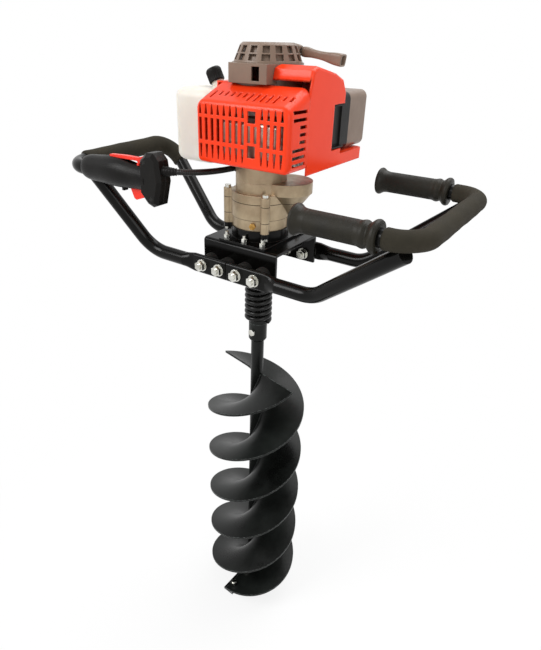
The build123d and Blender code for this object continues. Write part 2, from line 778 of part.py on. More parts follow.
# Channel bracket and the bolts that hold it to the gearbox and to the frame
bolt_xs = [frame_bolt_centre + frame_bolt_pitch * (k - 1.5) for k in range(4)]
channel_low = channel_top - channel_depth
inner_half = channel_half_width - channel_plate
channel = block((channel_left, channel_right), (-channel_half_width, channel_half_width), (channel_low, channel_top))
bend_edges = channel.edges().filter_by(Axis.X).group_by(Axis.Z)[-1]
channel = fillet(bend_edges, channel_bend)
hollow_x = (channel_left - 1, channel_right + 1)
channel -= block(hollow_x, (-inner_half, inner_half), (channel_low - 1, channel_top - channel_plate))
channel -= disc(channel_hole, channel_top - channel_plate - 1, channel_top + 1)
flange_bolt_radius = 3.0
flange_bolt_head = 4.5
flange_bolt_offset = 55.4
flange_bolt_spots = [(x, side * flange_bolt_offset) for side in (-1, 1) for x in (-31.0, 6.0, 43.0)]
flange_bolts = []
for x, y in flange_bolt_spots:
    hole = disc(flange_bolt_radius + hole_fit, channel_top - channel_plate - 1, channel_top + flange_plate + 1, x, y)
    channel -= hole
    flange -= hole
    bolt = disc(flange_bolt_radius, channel_top - channel_plate, channel_top + flange_plate + 12, x, y)
    bolt += hexagon((x, y, channel_top - channel_plate), (0, 0, -1), 2 * flange_bolt_head, 5)
    bolt += hexagon((x, y, channel_top + flange_plate), (0, 0, 1), 2 * flange_bolt_head, 7)
    flange_bolts.append(bolt)
for x in bolt_xs:
    hole = rod((x, -channel_half_width - 1, rail_height), (0, 1, 0), frame_bolt_radius + hole_fit, 2 * channel_half_width + 2)
    channel -= hole
save("channel_bracket", channel)
save("mounting_flange", flange)
save("gearbox_bolts", *case_bolts, *flange_bolts)

rail_outer = rail_offset + rail_flat_depth / 2
rail_inner = rail_offset - rail_flat_depth / 2
buffers = []
frame_bolts = []
frame_nuts = []
for side in (-1, 1):
    head_y = -inner_half if side < 0 else rail_outer
    nut_y = -rail_outer if side < 0 else inner_half
    reach = head_y - nut_y + frame_washer + frame_nut + 3
    for x in bolt_xs:
        low = sorted((side * channel_half_width, side * rail_inner))[0]
        buffer = rod((x, low, rail_height), (0, 1, 0), buffer_radius, rail_inner - channel_half_width)
        bore = rod((x, low - 1, rail_height), (0, 1, 0), frame_bolt_radius + hole_fit, rail_inner)
        buffers.append(buffer - bore)
        shank = rod((x, head_y + 1, rail_height), (0, -1, 0), frame_bolt_radius, reach + 1)
        frame_bolts.append(shank + hexagon((x, head_y, rail_height), (0, 1, 0), frame_nut_across, frame_bolt_radius + 1.5))
        nut = rod((x, nut_y, rail_height), (0, -1, 0), frame_washer_radius, frame_washer)
        nut += hexagon((x, nut_y - frame_washer, rail_height), (0, -1, 0), frame_nut_across, frame_nut)
        bolt_room = rod((x, nut_y + 1, rail_height), (0, -1, 0), frame_bolt_radius + running_fit, 20)
        frame_nuts.append(nut - bolt_room)
save("rubber_buffers", *buffers)
save("frame_bolts", *frame_bolts)
save("frame_nuts", *frame_nuts)

# Handle frame tubes: each rail ends in a flat stretch between the buffers and the nuts.
flat_length = 20.0
flat_reach_left = bolt_xs[0] - flat_length
flat_reach_right = bolt_xs[3] + flat_length
blend_length = 22.0


def flat_end(side, inner_x, outer_x):
    """The flattened stretch of a rail with its bolt holes, and the change to the round tube."""
    direction = 1 if outer_x > inner_x else -1
    y_range = (side * rail_offset - rail_flat_depth / 2, side * rail_offset + rail_flat_depth / 2)
    z_range = (rail_height - rail_flat_height / 2, rail_height + rail_flat_height / 2)
    flat = block(sorted((inner_x, outer_x)), y_range, z_range)
    flat = fillet(flat.edges().filter_by(Axis.X), rail_flat_depth * 0.45)
    wide = Plane(origin=(outer_x, side * rail_offset, rail_height), x_dir=(0, 1, 0), z_dir=(direction, 0, 0))
    corner = rail_flat_depth * 0.45
    rounded = wide * RectangleRounded(rail_flat_depth, rail_flat_height, corner)
    circle = wide.offset(blend_length) * Circle(tube_radius)
    blend = loft([rounded.face(), circle.face()])
    shape = flat + blend
    for x in bolt_xs:
        shape -= rod((x, side * rail_offset - 20, rail_height), (0, 1, 0), frame_bolt_radius + hole_fit, 40)
    return shape


rail_left_start = flat_reach_left - blend_length
rail_right_start = flat_reach_right + blend_length
tube_inner = tube_radius - tube_wall

left_corners = [
    (throttle_arm_end, throttle_arm_y, left_bar_z),
    (left_bar_x, throttle_arm_y, left_bar_z),
    (left_bar_x, left_bar_back_y, left_bar_z + left_bar_back_rise),
    (left_bend_x, rail_offset, rail_height),
    (rail_left_start, rail_offset, rail_height),
]
left_path = FilletPolyline(*left_corners, radius=[left_elbow, left_elbow, low_elbow])
left_tube = bar(left_path, tube_radius, tube_inner)
left_solid = bar(left_path, tube_radius)
save("left_handle_tube", left_tube + flat_end(1, rail_split - 1, flat_reach_left))

left_leg_corners = [
    (rail_left_start, -rail_offset, rail_height),
    (left_bend_x, -rail_offset, rail_height),
    (-262.0, -135.0, left_bar_z - 7),
]
left_leg_path = FilletPolyline(*left_leg_corners, radius=[low_elbow])
left_leg = bar(left_leg_path, tube_radius, tube_inner) - left_solid
left_leg = left_leg.solids().sort_by(SortBy.VOLUME)[-1] + flat_end(-1, rail_split - 1, flat_reach_left)

right_corners = [
    (right_arm_end, -right_arm_y, right_arm_z),
    (right_bar_x, -right_arm_y, right_arm_z),
    (right_bar_x, right_arm_y, right_arm_z),
    (right_arm_end, right_arm_y, right_arm_z),
]
right_path = FilletPolyline(*right_corners, radius=[right_elbow, right_elbow])
save("right_handle_tube", bar(right_path, tube_radius, tube_inner))

sleeve_corners = [
    (sleeve_start_x, -right_arm_y, right_arm_z),
    *right_corners[1:3],
    (sleeve_start_x, right_arm_y, right_arm_z),
]
sleeve_path = FilletPolyline(*sleeve_corners, radius=[right_elbow, right_elbow])
sleeve_solid = bar(sleeve_path, sleeve_radius)
right_leg_top = (right_bar_x - 18, right_arm_y - 6, right_arm_z - 16)
legs = [left_leg]
leg_cutters = []
for side in (-1, 1):
    leg_corners = [
        (rail_right_start, side * rail_offset, rail_height),
        (right_bend_x, side * rail_offset, rail_height),
        (right_leg_top[0], side * right_leg_top[1], right_leg_top[2]),
    ]
    leg_path = FilletPolyline(*leg_corners, radius=[low_elbow])
    leg = bar(leg_path, tube_radius, tube_inner) - bar(right_path, tube_radius)
    leg_cutters.append(bar(leg_path, tube_radius + sleeve_fit))
    leg = leg.solids().sort_by(SortBy.VOLUME)[-1]
    plug_end = rod(leg_path @ 1, leg_path % 1 * -1, tube_inner + tube_wall / 2, tube_wall) - bar(right_path, tube_radius)
    leg += plug_end.solids().sort_by(SortBy.VOLUME)[-1]
    legs.append(leg + flat_end(side, rail_split + 1, flat_reach_right))
save("support_legs", *legs)

sleeve = sleeve_solid - bar(sleeve_path, tube_radius + sleeve_fit)
for cutter in leg_cutters:
    sleeve -= cutter
save("right_foam_sleeve", sleeve)

bar_slope = left_bar_back_rise / (left_bar_back_y - throttle_arm_y)
foam_corners = [
    (left_bar_x, foam_front_y, left_bar_z + bar_slope * (foam_front_y - throttle_arm_y)),
    left_corners[2],
]
leg_run = Vector(*left_corners[3]) - Vector(*left_corners[2])
foam_end = Vector(*left_corners[2]) + leg_run.normalized() * (left_elbow * 1.25)
foam_path = FilletPolyline(*foam_corners, foam_end, radius=[left_elbow])
save("left_foam_sleeve", bar(foam_path, foam_radius, tube_radius + loose_fit))

# Rubber grips with a flange at each end and a groove near the outer one
grips = []
for side in (-1, 1):
    profile = (
        (tube_radius + sleeve_fit, 0),
        (grip_flange_radius - 1, 0),
        (grip_flange_radius, grip_flange / 2),
        (grip_flange_radius - 1, grip_flange),
        (grip_radius, grip_flange + 3),
        (grip_radius, grip_groove_x - grip_inner_x - grip_groove),
        (grip_radius - 1.5, grip_groove_x - grip_inner_x),
        (grip_radius, grip_groove_x - grip_inner_x + grip_groove),
        (grip_radius, grip_outer_x - grip_inner_x - 3),
        (grip_flange_radius - 1, grip_outer_x - grip_inner_x),
        (grip_flange_radius, grip_outer_x - grip_inner_x + grip_flange / 2),
        (grip_flange_radius - 1, grip_outer_x - grip_inner_x + grip_flange),
        (tube_radius + sleeve_fit, grip_outer_x - grip_inner_x + grip_flange),
    )
    place = Plane(origin=(grip_inner_x, side * right_arm_y, right_arm_z), x_dir=(0, 0, -1), z_dir=(1, 0, 0))
    grips.append(place * turned(profile))
save("rubber_grips", *grips)

# Throttle grip: two halves clamped round the left arm, with trigger, lock lever and stop switch.
arm_z = left_bar_z
head_outline = (
    (-131, arm_z - 18),
    (-116, arm_z - 34),
    (-104, arm_z - 38),
    (-94, arm_z - 34),
    (-84, arm_z + 4),
    (-88, arm_z + 36),
    (-99, arm_z + 47),
    (-113, arm_z + 46),
    (-128, arm_z + 33),
)
head_chamfer = 5.5
barrel_stations = (
    (-271, 2.0, 0.72),
    (-262, 2.5, 0.84),
    (-235, 3.5, 0.92),
    (-200, 4.5, 1.0),
    (-170, 4.0, 0.93),
    (-143, 3.0, 0.82),
    (-118, 2.0, 0.8),
)
barrel_sections = []
for x, rise, share in barrel_stations:
    station = Plane(origin=(x, throttle_arm_y, arm_z + rise), x_dir=(0, 1, 0), z_dir=(1, 0, 0))
    barrel_sections.append(station * Ellipse(barrel_half_depth * share, barrel_half_height * share))
barrel = loft([section.face() for section in barrel_sections])
head = side_prism(head_outline, throttle_arm_y - grip_half_depth, throttle_arm_y + grip_half_depth)
head = chamfer(head.edges().filter_by(Axis.Y, reverse=True), head_chamfer)
housing = barrel + head
tube_room = rod((-290, throttle_arm_y, arm_z), (1, 0, 0), tube_radius + sleeve_fit, 290 + throttle_arm_end + 1)
slot_y = (throttle_arm_y - throttle_slot / 2, throttle_arm_y + throttle_slot / 2)
trigger_room = block((-168, -112), slot_y, (arm_z - 40, arm_z - 4))
trigger_room += block((-139, -112), slot_y, (arm_z - 5, arm_z + 8))
lock_room = block((-208, -118), slot_y, (arm_z + 17, arm_z + 60))
switch_room = block((-186, -170), (slot_y[0] - 1, slot_y[1] + 1), (arm_z - 30, arm_z - 13.5))
conduit_radius = 5.0
conduit_exit = (-90.0, throttle_arm_y, arm_z + 20)
conduit_seat = rod(conduit_exit, (1, 0, 0), conduit_radius + running_fit, 40)
trigger_pivot = (-127.0, throttle_arm_y, arm_z + 1.0)
lock_pivot = (-132.0, throttle_arm_y, arm_z + 26.0)
pivot_radius = 2.0
pivots = [
    rod((x, throttle_arm_y - grip_half_depth + 4, z), (0, 1, 0), pivot_radius, 2 * grip_half_depth - 8)
    for x, _, z in (trigger_pivot, lock_pivot)
]
leg_room = bar(left_leg_path, tube_radius + loose_fit)
housing = housing - tube_room - leg_room - trigger_room - lock_room - switch_room - conduit_seat
screw_spots = ((-116, arm_z + 33), (-104, arm_z - 24))
screws = []
screw_radius = 2.0
screw_length = 20.0
for x, z in screw_spots:
    face_y = throttle_arm_y - grip_half_depth
    screw = rod((x, face_y + 2, z), (0, 1, 0), screw_radius, screw_length)
    screw += rod((x, face_y, z), (0, 1, 0), 3.6, 2)
    screws.append(screw)
    housing -= rod((x, face_y - 1, z), (0, 1, 0), 4.0, 3)
    housing -= rod((x, face_y, z), (0, 1, 0), screw_radius + running_fit, screw_length + 2.5)
save("throttle_screws", *screws)
front_room = block((-400, 0), (throttle_arm_y - 60, throttle_arm_y), (900, 1100))
back_room = block((-400, 0), (throttle_arm_y, throttle_arm_y + 60), (900, 1100))
pin_bores = [
    rod((x, throttle_arm_y - grip_half_depth + 4, z), (0, 1, 0), pivot_radius + running_fit, 2 * grip_half_depth - 8)
    for x, _, z in (trigger_pivot, lock_pivot)
]
for bore in pin_bores:
    housing -= bore
save("throttle_housing_front", (housing & front_room).solids().sort_by(SortBy.VOLUME)[-1])
save("throttle_housing_back", (housing & back_room).solids().sort_by(SortBy.VOLUME)[-1])

half_trigger = trigger_plate / 2
trigger_y = (throttle_arm_y - half_trigger, throttle_arm_y + half_trigger)
trigger_outline = (
    (-134, arm_z + 4),
    (-120, arm_z + 4),
    (-119, arm_z - 20),
    (-130, arm_z - 28),
    (-150, arm_z - 35),
    (-155, arm_z - 33),
    (-163, arm_z - 15),
    (-145, arm_z - 17),
    (-135, arm_z - 8),
)
trigger = side_prism(trigger_outline, *trigger_y)
save("throttle_trigger", trigger + pivots[0])
lock_outline = (
    (-205, arm_z + 28),
    (-205, arm_z + 32),
    (-170, arm_z + 34),
    (-140, arm_z + 34),
    (-122, arm_z + 40),
    (-120, arm_z + 36),
    (-128, arm_z + 22),
    (-138, arm_z + 22),
    (-142, arm_z + 29),
)
save("lock_lever", side_prism(lock_outline, *trigger_y) + pivots[1])
switch_y = (trigger_y[0] - 0.5, trigger_y[1] + 0.5)
stop_switch = block((-182.5, -177.5), switch_y, (arm_z - 24, arm_z - 14))
save("stop_switch", stop_switch)

# Throttle conduit, from the grip's head along the gearbox to the carburettor
conduit_end = (52.0, 46.0, 1061.0)
conduit_route = [
    conduit_exit,
    (-50.0, throttle_arm_y, conduit_exit[2] - 1),
    (-52.0, -45.0, 1012.0),
    (-50.0, 50.0, 1010.0),
    (2.0, 50.0, 1012.0),
    conduit_end,
]
conduit_arcs = [37.0, 200.0, 36.0, 38.0]
conduit_path = FilletPolyline(*conduit_route, radius=conduit_arcs)
conduit = bar(conduit_path, conduit_radius)
print("throttle conduit length:", round(conduit_path.length), "volume over section times length:",
      round(conduit.volume / (pi * conduit_radius**2 * conduit_path.length), 4))
save("throttle_conduit", conduit)

clip_centre = (Vector(*conduit_route[2]) + Vector(*conduit_route[3])) / 2
clip_run = (Vector(*conduit_route[3]) - Vector(*conduit_route[2])).normalized()
clip_radius = conduit_radius + 2.5
clip_azimuth = degrees(atan2(clip_centre.Y, clip_centre.X))
clip_reach = hypot(clip_centre.X, clip_centre.Y)
clip = rod(clip_centre - clip_run * 4, clip_run, clip_radius, 8)
clip_z = (clip_centre.Z - 4, clip_centre.Z + 4)
clip += Rot(0, 0, clip_azimuth) * block((neck_radius + sleeve_fit, clip_reach - conduit_radius), (-4, 4), clip_z)
clip -= rod(clip_centre - clip_run * 10, clip_run, conduit_radius + running_fit, 20)
save("conduit_clip", clip.solids().sort_by(SortBy.VOLUME)[-1])

# Muffler guard: a slotted red box, open towards the engine
def guard_box(inset, back):
    """The guard's outline, drawn in by an inset on every side but the back."""
    slope = (guard_back_top - guard_top) / (guard_back - guard_front)
    top_front = guard_top - inset
    outline = (
        (guard_front + inset, guard_bottom + inset),
        (guard_front + inset, top_front),
        (back, top_front + slope * (back - guard_front - inset)),
        (back, guard_bottom + inset),
    )
    box = end_prism(outline, engine_left + inset, engine_right - inset)
    edges = box.edges().filter_by(lambda e: e.center().Y < guard_back - 10)
    edges = edges.filter_by(lambda e: abs((e @ 1 - e @ 0).X) < 1)
    top_edges = edges.filter_by(lambda e: abs((e @ 1 - e @ 0).Z) < guard_height / 2 and e.center().Z > guard_top)
    box = fillet(top_edges, guard_top_corner - inset)
    edges = box.edges().filter_by(lambda e: e.center().Y < guard_back - 10 and e.center().Z < guard_top - 5)
    edges = edges.filter_by(lambda e: abs((e @ 1 - e @ 0).X) < 1)
    box = fillet(edges, guard_corner - inset)
    front = box.edges().filter_by(lambda e: abs(e.center().Y - guard_front - inset) < 0.1)
    return fillet(front.filter_by(Axis.X), guard_edge - inset)


guard = guard_box(0, guard_back) - guard_box(cover_wall, guard_back + 1)
guard -= disc(fan_housing_radius + 0.5, fan_housing_low - 1, starter_low, *starter_centre)
slot_y = (guard_front - 1, guard_front + cover_wall + 1)
columns = [slot_first_x + slot_pitch * k for k in range(slot_columns)]
for number, x in enumerate(columns):
    beside_window = abs(x - window_x) < (window_width + slot_width) / 2
    for row, (row_low, row_high) in enumerate(slot_rows):
        if beside_window and row != 1:
            continue
        if beside_window:
            row_low, row_high = window_rows[0][1] + window_bridge, window_rows[1][0] - window_bridge
        row_low, row_high = guard_bottom + row_low, guard_bottom + row_high
        low_half = slot_width / 2 * (slot_taper if row == 0 else 1)
        high_half = slot_width / 2 * (slot_taper if row == 2 else 1)
        outline = (
            (x - low_half, row_low),
            (x + low_half, row_low),
            (x + high_half, row_high),
            (x - high_half, row_high),
        )
        guard -= side_prism(outline, *slot_y)
    top_slot_y = (-82 if number in short_top_slots else -90, -70)
    guard -= block((x - slot_width / 2 + 1, x + slot_width / 2 - 1), top_slot_y, (guard_top - 8, guard_back_top + 5))
for row_low, row_high in window_rows:
    half_window = window_width / 2
    window_z = (guard_bottom + row_low, guard_bottom + row_high)
    guard -= block((window_x - half_window, window_x + half_window), slot_y, window_z)
for vent in range(vent_count):
    vent_z = guard_top - vent_below_top - vent_pitch * vent
    vent_y = (-70 if vent in short_vents else -88, guard_back - 6)
    guard -= block((engine_right - cover_wall - 1, engine_right + 1), vent_y, (vent_z - vent_height, vent_z))
save("muffler_guard", guard)

muffler = block((-18, 90), (-90, -47), (cylinder_height - 20, cylinder_height + 36))
muffler = fillet(muffler.edges(), 7)
muffler_stub = rod((70, -48, cylinder_height), (0, 1, 0), 11, 48 - cylinder_fin)
save("muffler", muffler + muffler_stub)

# Engine shroud: a red shell over the cylinder and the flywheel, open below and towards the guard
low_shroud_right = -24.0


def shroud_outline(profile, inset):
    """A Y and Z outline drawn in by an inset at the top and back, and run past its open sides."""
    past = 2 if inset else 0
    front = guard_back - past
    moved = [(front, shroud_bottom - past), (front, shroud_front_top - inset)]
    for y, z in profile:
        moved.append((y - inset if y > 0 else y + inset / 2, z - past if z == shroud_bottom else z - inset))
    return moved


low_profile = ((56.0, shroud_front_top), *shroud_profile[4:])
high_x = (low_shroud_right, engine_right)
low_x = (engine_left, low_shroud_right)
shroud = end_prism(shroud_outline(shroud_profile, 0), *high_x)
right_edges = shroud.edges().filter_by(lambda e: e.center().X > engine_right - 1 and e.center().Y > guard_back + 1)
shroud = fillet(right_edges.filter_by(lambda e: e.center().Z > shroud_bottom + 1), shroud_edge)
shroud += end_prism(shroud_outline(low_profile, 0), *low_x)
shroud_room = end_prism(shroud_outline(shroud_profile, cover_wall), high_x[0] + cover_wall, high_x[1] - cover_wall)
low_room_x = (low_x[0] + cover_wall, low_x[1] + cover_wall + 1)
shroud_room += end_prism(shroud_outline(low_profile, cover_wall), *low_room_x)
shroud -= shroud_room
tray_inner_front = 54.0
tray = block((tray_left, engine_right), (tray_inner_front, tray_back), (shroud_bottom, shroud_bottom + tray_height))
tray = fillet(tray.edges().filter_by(Axis.Z).sort_by(Axis.Y)[-2:], tray_corner)
tray_room_z = (shroud_bottom - 1, shroud_bottom + tray_height - cover_wall)
tray_room_x = (tray_left + cover_wall, engine_right - cover_wall)
tray -= block(tray_room_x, (tray_inner_front - 1, tray_back - tray_corner), tray_room_z)
shroud += tray
tray_opening_z = (shroud_bottom - 1, shroud_bottom + tray_height + 1)
shroud -= block((tray_left - 10, engine_right - cover_wall), (guard_back + 86, tray_inner_front + 3), tray_opening_z)
scoop_low = air_bottom + 8.0
scoop_z = (scoop_low, scoop_low + scoop_height)
scoop_left = scoop_right - 14.0
scoop_room_z = (scoop_z[0] - 1, scoop_z[1] + 1)
shroud -= block((scoop_left - 1, engine_right + 1), (scoop_front - 1, air_front + 1), scoop_room_z)
fan_room = disc(fan_housing_radius + 0.5, fan_housing_low - 2, starter_high, *starter_centre)
fan_room_x = (fan_housing_x[0] - 0.5, fan_housing_x[1] + 0.5)
fan_room += block(fan_room_x, (fan_housing_front - 3, 0), (fan_front_low - 0.5, starter_high))
shroud -= fan_room
intake = (62.0, cylinder_height + 6.0)
duct_radius = 12.0
shroud -= rod((intake[0], 50, intake[1]), (0, 1, 0), duct_radius + hole_fit, 40)
save("engine_shroud", shroud.solids().sort_by(SortBy.VOLUME)[-1])

# Fan housing and recoil starter
housing_wall = 3.0
fan_outer = disc(fan_housing_radius, fan_housing_low, starter_low, *starter_centre)
fan_front = block(fan_housing_x, (fan_housing_front, 0), (fan_front_low, starter_low))
fan_outer += fillet(fan_front.edges().filter_by(Axis.Z).sort_by(Axis.Y)[:2].sort_by(Axis.X)[0], fan_front_corner)
fan_inner = disc(fan_housing_radius - housing_wall, fan_housing_low - 1, starter_low - housing_wall, *starter_centre)
inner_x = (fan_housing_x[0] + housing_wall, fan_housing_x[1] - housing_wall)
inner_z = (fan_front_low + housing_wall, starter_low - housing_wall)
fan_front_room = block(inner_x, (fan_housing_front + housing_wall, 0), inner_z)
fan_inner += fillet(fan_front_room.edges().filter_by(Axis.Z).sort_by(Axis.Y)[:2].sort_by(Axis.X)[0], 4)
fan_housing = fan_outer - fan_inner - disc(36, starter_low - housing_wall - 1, starter_low + 1)
front_slot_y = (fan_housing_front - 1, fan_housing_front + housing_wall + 1)
front_slot = block(front_slot_x, front_slot_y, (fan_front_low + 4, fan_front_low + 4 + front_slot_height))
save("fan_housing", fan_housing - front_slot)

cx, cy = starter_centre
cover_profile = (
    (starter_low_radius, starter_low),
    (starter_high_radius + 2, starter_high - 3),
    (starter_high_radius - 2, starter_high),
    (0, starter_high),
    (0, starter_high - starter_wall),
    (starter_high_radius - 3, starter_high - starter_wall),
    (starter_high_radius - 1, starter_high - 4),
    (starter_low_radius - starter_wall - 0.5, starter_low),
)
starter_cover = turned(cover_profile, cx, cy)
for number in range(starter_windows):
    turn = Pos(cx, cy, 0) * Rot(0, 0, 360 * (number + 0.5) / starter_windows)
    low_x = (starter_high_radius - 1, starter_low_radius + 2)
    high_x = (starter_high_radius - 5, starter_low_radius + 2)
    top_x = (starter_high_radius - 14, starter_high_radius - 5)
    starter_cover -= turn * block(low_x, (-window_half, window_half), (starter_low + 3, starter_low + 11.5))
    starter_cover -= turn * block(high_x, (-high_window_half, high_window_half), (starter_low + 13.5, starter_high - 4.5))
    starter_cover -= turn * block(top_x, (-2.5, 2.5), (starter_high - 4, starter_high + 1))
liner_high = starter_high_radius - starter_wall - liner_gap
liner_low = starter_low_radius - starter_wall - liner_gap
starter_cover += turned((
    (liner_low, starter_low),
    (liner_high, starter_high - starter_wall),
    (liner_high - liner_wall, starter_high - starter_wall),
    (liner_low - liner_wall, starter_low),
), cx, cy)
post_radius = 5.0
starter_cover += disc(post_radius, reel_low, starter_high - 1)
handle_run = Vector(handle_reach, 0, -handle_drop).normalized()
rope_start = Vector(*handle_start) - handle_run * 34
starter_cover -= rod(rope_start, handle_run, rope_radius + loose_fit, 40)
save("starter_cover", starter_cover)

reel_profile = (
    (post_radius + running_fit, reel_low),
    (reel_radius, reel_low),
    (reel_radius, reel_low + 2),
    (reel_radius - 5, reel_low + 3),
    (reel_radius - 5, reel_high - 3),
    (reel_radius, reel_high - 2),
    (reel_radius, reel_high),
    (post_radius + running_fit, reel_high),
)
save("recoil_reel", turned(reel_profile))
handle_plane = Plane(origin=handle_start, z_dir=handle_run)
handle_seat = handle_reach - 16
handle_profile = (
    (rope_radius + running_fit, 0),
    (handle_radius - 2, 0),
    (handle_radius - 1, 5),
    (handle_radius - 2, 11),
    (handle_radius - 3, 15),
    (handle_radius - 3, 38),
    (handle_radius - 1, 50),
    (handle_radius + 1, handle_reach - 5),
    (handle_radius + 1, handle_reach),
    (handle_radius - 1, handle_reach),
    (handle_radius - 2.5, handle_seat),
    (rope_radius + running_fit, handle_seat),
)
save("starter_handle", handle_plane * turned(handle_profile))
rope_tail = 34.0
rope = rod(rope_start, handle_run, rope_radius, rope_tail + handle_seat)
rope += rod(Vector(*handle_start) + handle_run * handle_seat, handle_run, rope_radius + 2, 4)
save("starter_rope", rope)

# Carburettor and air cleaner
carburettor = block((44, 80), (36, 56), (cylinder_height - 12, cylinder_height + 26))
carburettor = fillet(carburettor.edges().filter_by(Axis.Y), 4)
carburettor += rod((intake[0], cylinder_fin, intake[1]), (0, 1, 0), 10, 8)
carburettor += rod((intake[0], 55, intake[1]), (0, 1, 0), duct_radius, air_front - 55)
last_run = (Vector(*conduit_end) - Vector(*conduit_route[-2])).normalized()
carburettor -= rod(Vector(*conduit_end) - last_run * 30, last_run, conduit_radius + running_fit, 30)
save("carburettor", carburettor)


def air_box(inset, front, back):
    """The air cleaner's outline, drawn in by an inset, with its lower edge rising towards the engine."""
    box = block((air_left + inset, air_right - inset), (front, back), (air_bottom + inset, air_top - inset))
    return fillet(box.edges().filter_by(Axis.Y), 12 - inset)


air_base = air_box(0, air_front, air_split) - air_box(cover_wall, air_front + cover_wall, air_split + 1)
choke_pivot = (air_left, 84.0, air_bottom + 19.0)
choke_radius = 4.0
air_base -= rod((air_left - 1, *choke_pivot[1:]), axis_x, choke_radius + running_fit, cover_wall + 3)
scoop = block((scoop_left, scoop_right), (scoop_front, air_front + cover_wall), scoop_z)
scoop = fillet(scoop.edges().filter_by(Axis.X).sort_by(Axis.Y)[:2], 9)
hollow_radius = 60.0
hollow_centre = (scoop_right + hollow_radius - 9, scoop_front + 30)
scoop_hollow = disc(hollow_radius, scoop_z[0] + scoop_wall, scoop_z[1] - scoop_wall, *hollow_centre)
scoop -= scoop_hollow & block((scoop_left, scoop_right + 1), (scoop_front + scoop_wall, air_front + 9), scoop_z)
air_base += scoop
save("air_cleaner_base", air_base)
air_cover = air_box(0, air_split, air_back) - air_box(cover_wall, air_split - 1, air_back - cover_wall)
save("air_cleaner_cover", air_cover)
choke = rod((air_left - 6, *choke_pivot[1:]), axis_x, choke_radius, cover_wall + 10)
choke_x = (air_left - 6, air_left - 2)
choke += block(choke_x, (choke_pivot[1] - 4, choke_pivot[1] + 4), (choke_pivot[2], choke_pivot[2] + 28))
save("choke_lever", choke)

# Fuel tank with its neck and cap
tank_right = engine_left - loose_fit


def tank_body(inset):
    """The tank's rounded box, drawn in by an inset."""
    box = block((tank_left + inset, tank_right - inset), (inset - tank_half, tank_half - inset), (tank_bottom + inset, tank_top - inset))
    box = fillet(box.edges().filter_by(Axis.Z), tank_corner - inset)
    low = box.edges().filter_by(lambda e: e.center().Z < tank_bottom + inset + 1)
    high = box.edges().filter_by(lambda e: e.center().Z > tank_top - inset - 1)
    return fillet(low + high, 14 - inset)


neck_start = Vector(-86, 0, tank_top - 3)
cap_direction = Vector(-sin(radians(cap_lean)), 0, cos(radians(cap_lean)))
neck = rod(neck_start, cap_direction, cap_radius - 3, 18)
tank = tank_body(0) + neck - tank_body(tank_wall)
tank -= rod(neck_start - cap_direction * 3, cap_direction, cap_radius - 5, 30)
save("fuel_tank", tank.solids().sort_by(SortBy.VOLUME)[-1])
cap_start = neck_start + cap_direction * 12
cap = rod(cap_start, cap_direction, cap_radius, cap_height)
cap -= rod(cap_start - cap_direction, cap_direction, cap_radius - 3 + running_fit, 8)
save("fuel_cap", cap)
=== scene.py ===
# %% [markdown]
# # An engine-driven earth auger
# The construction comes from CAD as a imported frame: every tube, plate, gear, bolt and cover is already in place.
# This lesson gives it its looks. It loads the frame, builds the studio, mixes the finishes from a few shared
# shader groups, replaces the soft, ribbed and twisted pieces by surfaces that numpy works out on grids, and lays
# weld beads along the bit.

# %% Load the frame
import bpy
import json
import math
import numpy as np
from mathutils import Matrix, Vector


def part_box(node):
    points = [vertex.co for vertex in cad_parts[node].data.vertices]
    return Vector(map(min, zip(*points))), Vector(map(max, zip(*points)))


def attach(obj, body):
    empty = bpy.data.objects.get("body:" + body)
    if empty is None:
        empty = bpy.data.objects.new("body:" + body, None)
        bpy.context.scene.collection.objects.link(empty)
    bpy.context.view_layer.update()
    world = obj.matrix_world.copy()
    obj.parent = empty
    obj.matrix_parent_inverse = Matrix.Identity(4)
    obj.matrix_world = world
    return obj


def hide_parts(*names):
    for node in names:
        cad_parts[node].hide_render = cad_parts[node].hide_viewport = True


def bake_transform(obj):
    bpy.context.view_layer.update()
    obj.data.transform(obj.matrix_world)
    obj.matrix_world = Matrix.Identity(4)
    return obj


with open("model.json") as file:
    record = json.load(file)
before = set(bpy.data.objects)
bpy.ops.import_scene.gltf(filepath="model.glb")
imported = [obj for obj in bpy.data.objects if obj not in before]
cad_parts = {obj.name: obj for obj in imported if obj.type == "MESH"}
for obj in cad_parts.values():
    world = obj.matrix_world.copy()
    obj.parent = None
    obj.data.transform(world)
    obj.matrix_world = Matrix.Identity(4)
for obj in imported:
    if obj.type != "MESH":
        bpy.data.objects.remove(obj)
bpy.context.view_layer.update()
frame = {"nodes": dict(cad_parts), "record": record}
nodes = frame["nodes"]


# %% Places read from the frame
def read_off(node):
    """The two corners of a CAD node's box, rounded to a hundredth of a millimetre, because the frame's meshes keep
    only about seven digits."""
    return [np.round(np.array(corner, dtype=float), 5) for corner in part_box(node)]


handle_tube_low, handle_tube_high = read_off("right_handle_tube")
tube_radius = (handle_tube_high[2] - handle_tube_low[2]) / 2
handle_height = (handle_tube_high[2] + handle_tube_low[2]) / 2
print("handle tube radius:", round(tube_radius, 5), "and height:", round(handle_height, 5))

# %% [markdown]
# ## The camera
# The object was photographed from its front right corner and a little above, close enough for the upright lines
# to draw together towards the ground. A camera is set by where it stands and by three directions: to its right,
# up, and forward. Blender's camera looks along its own minus Z, so the third column is the forward one reversed.

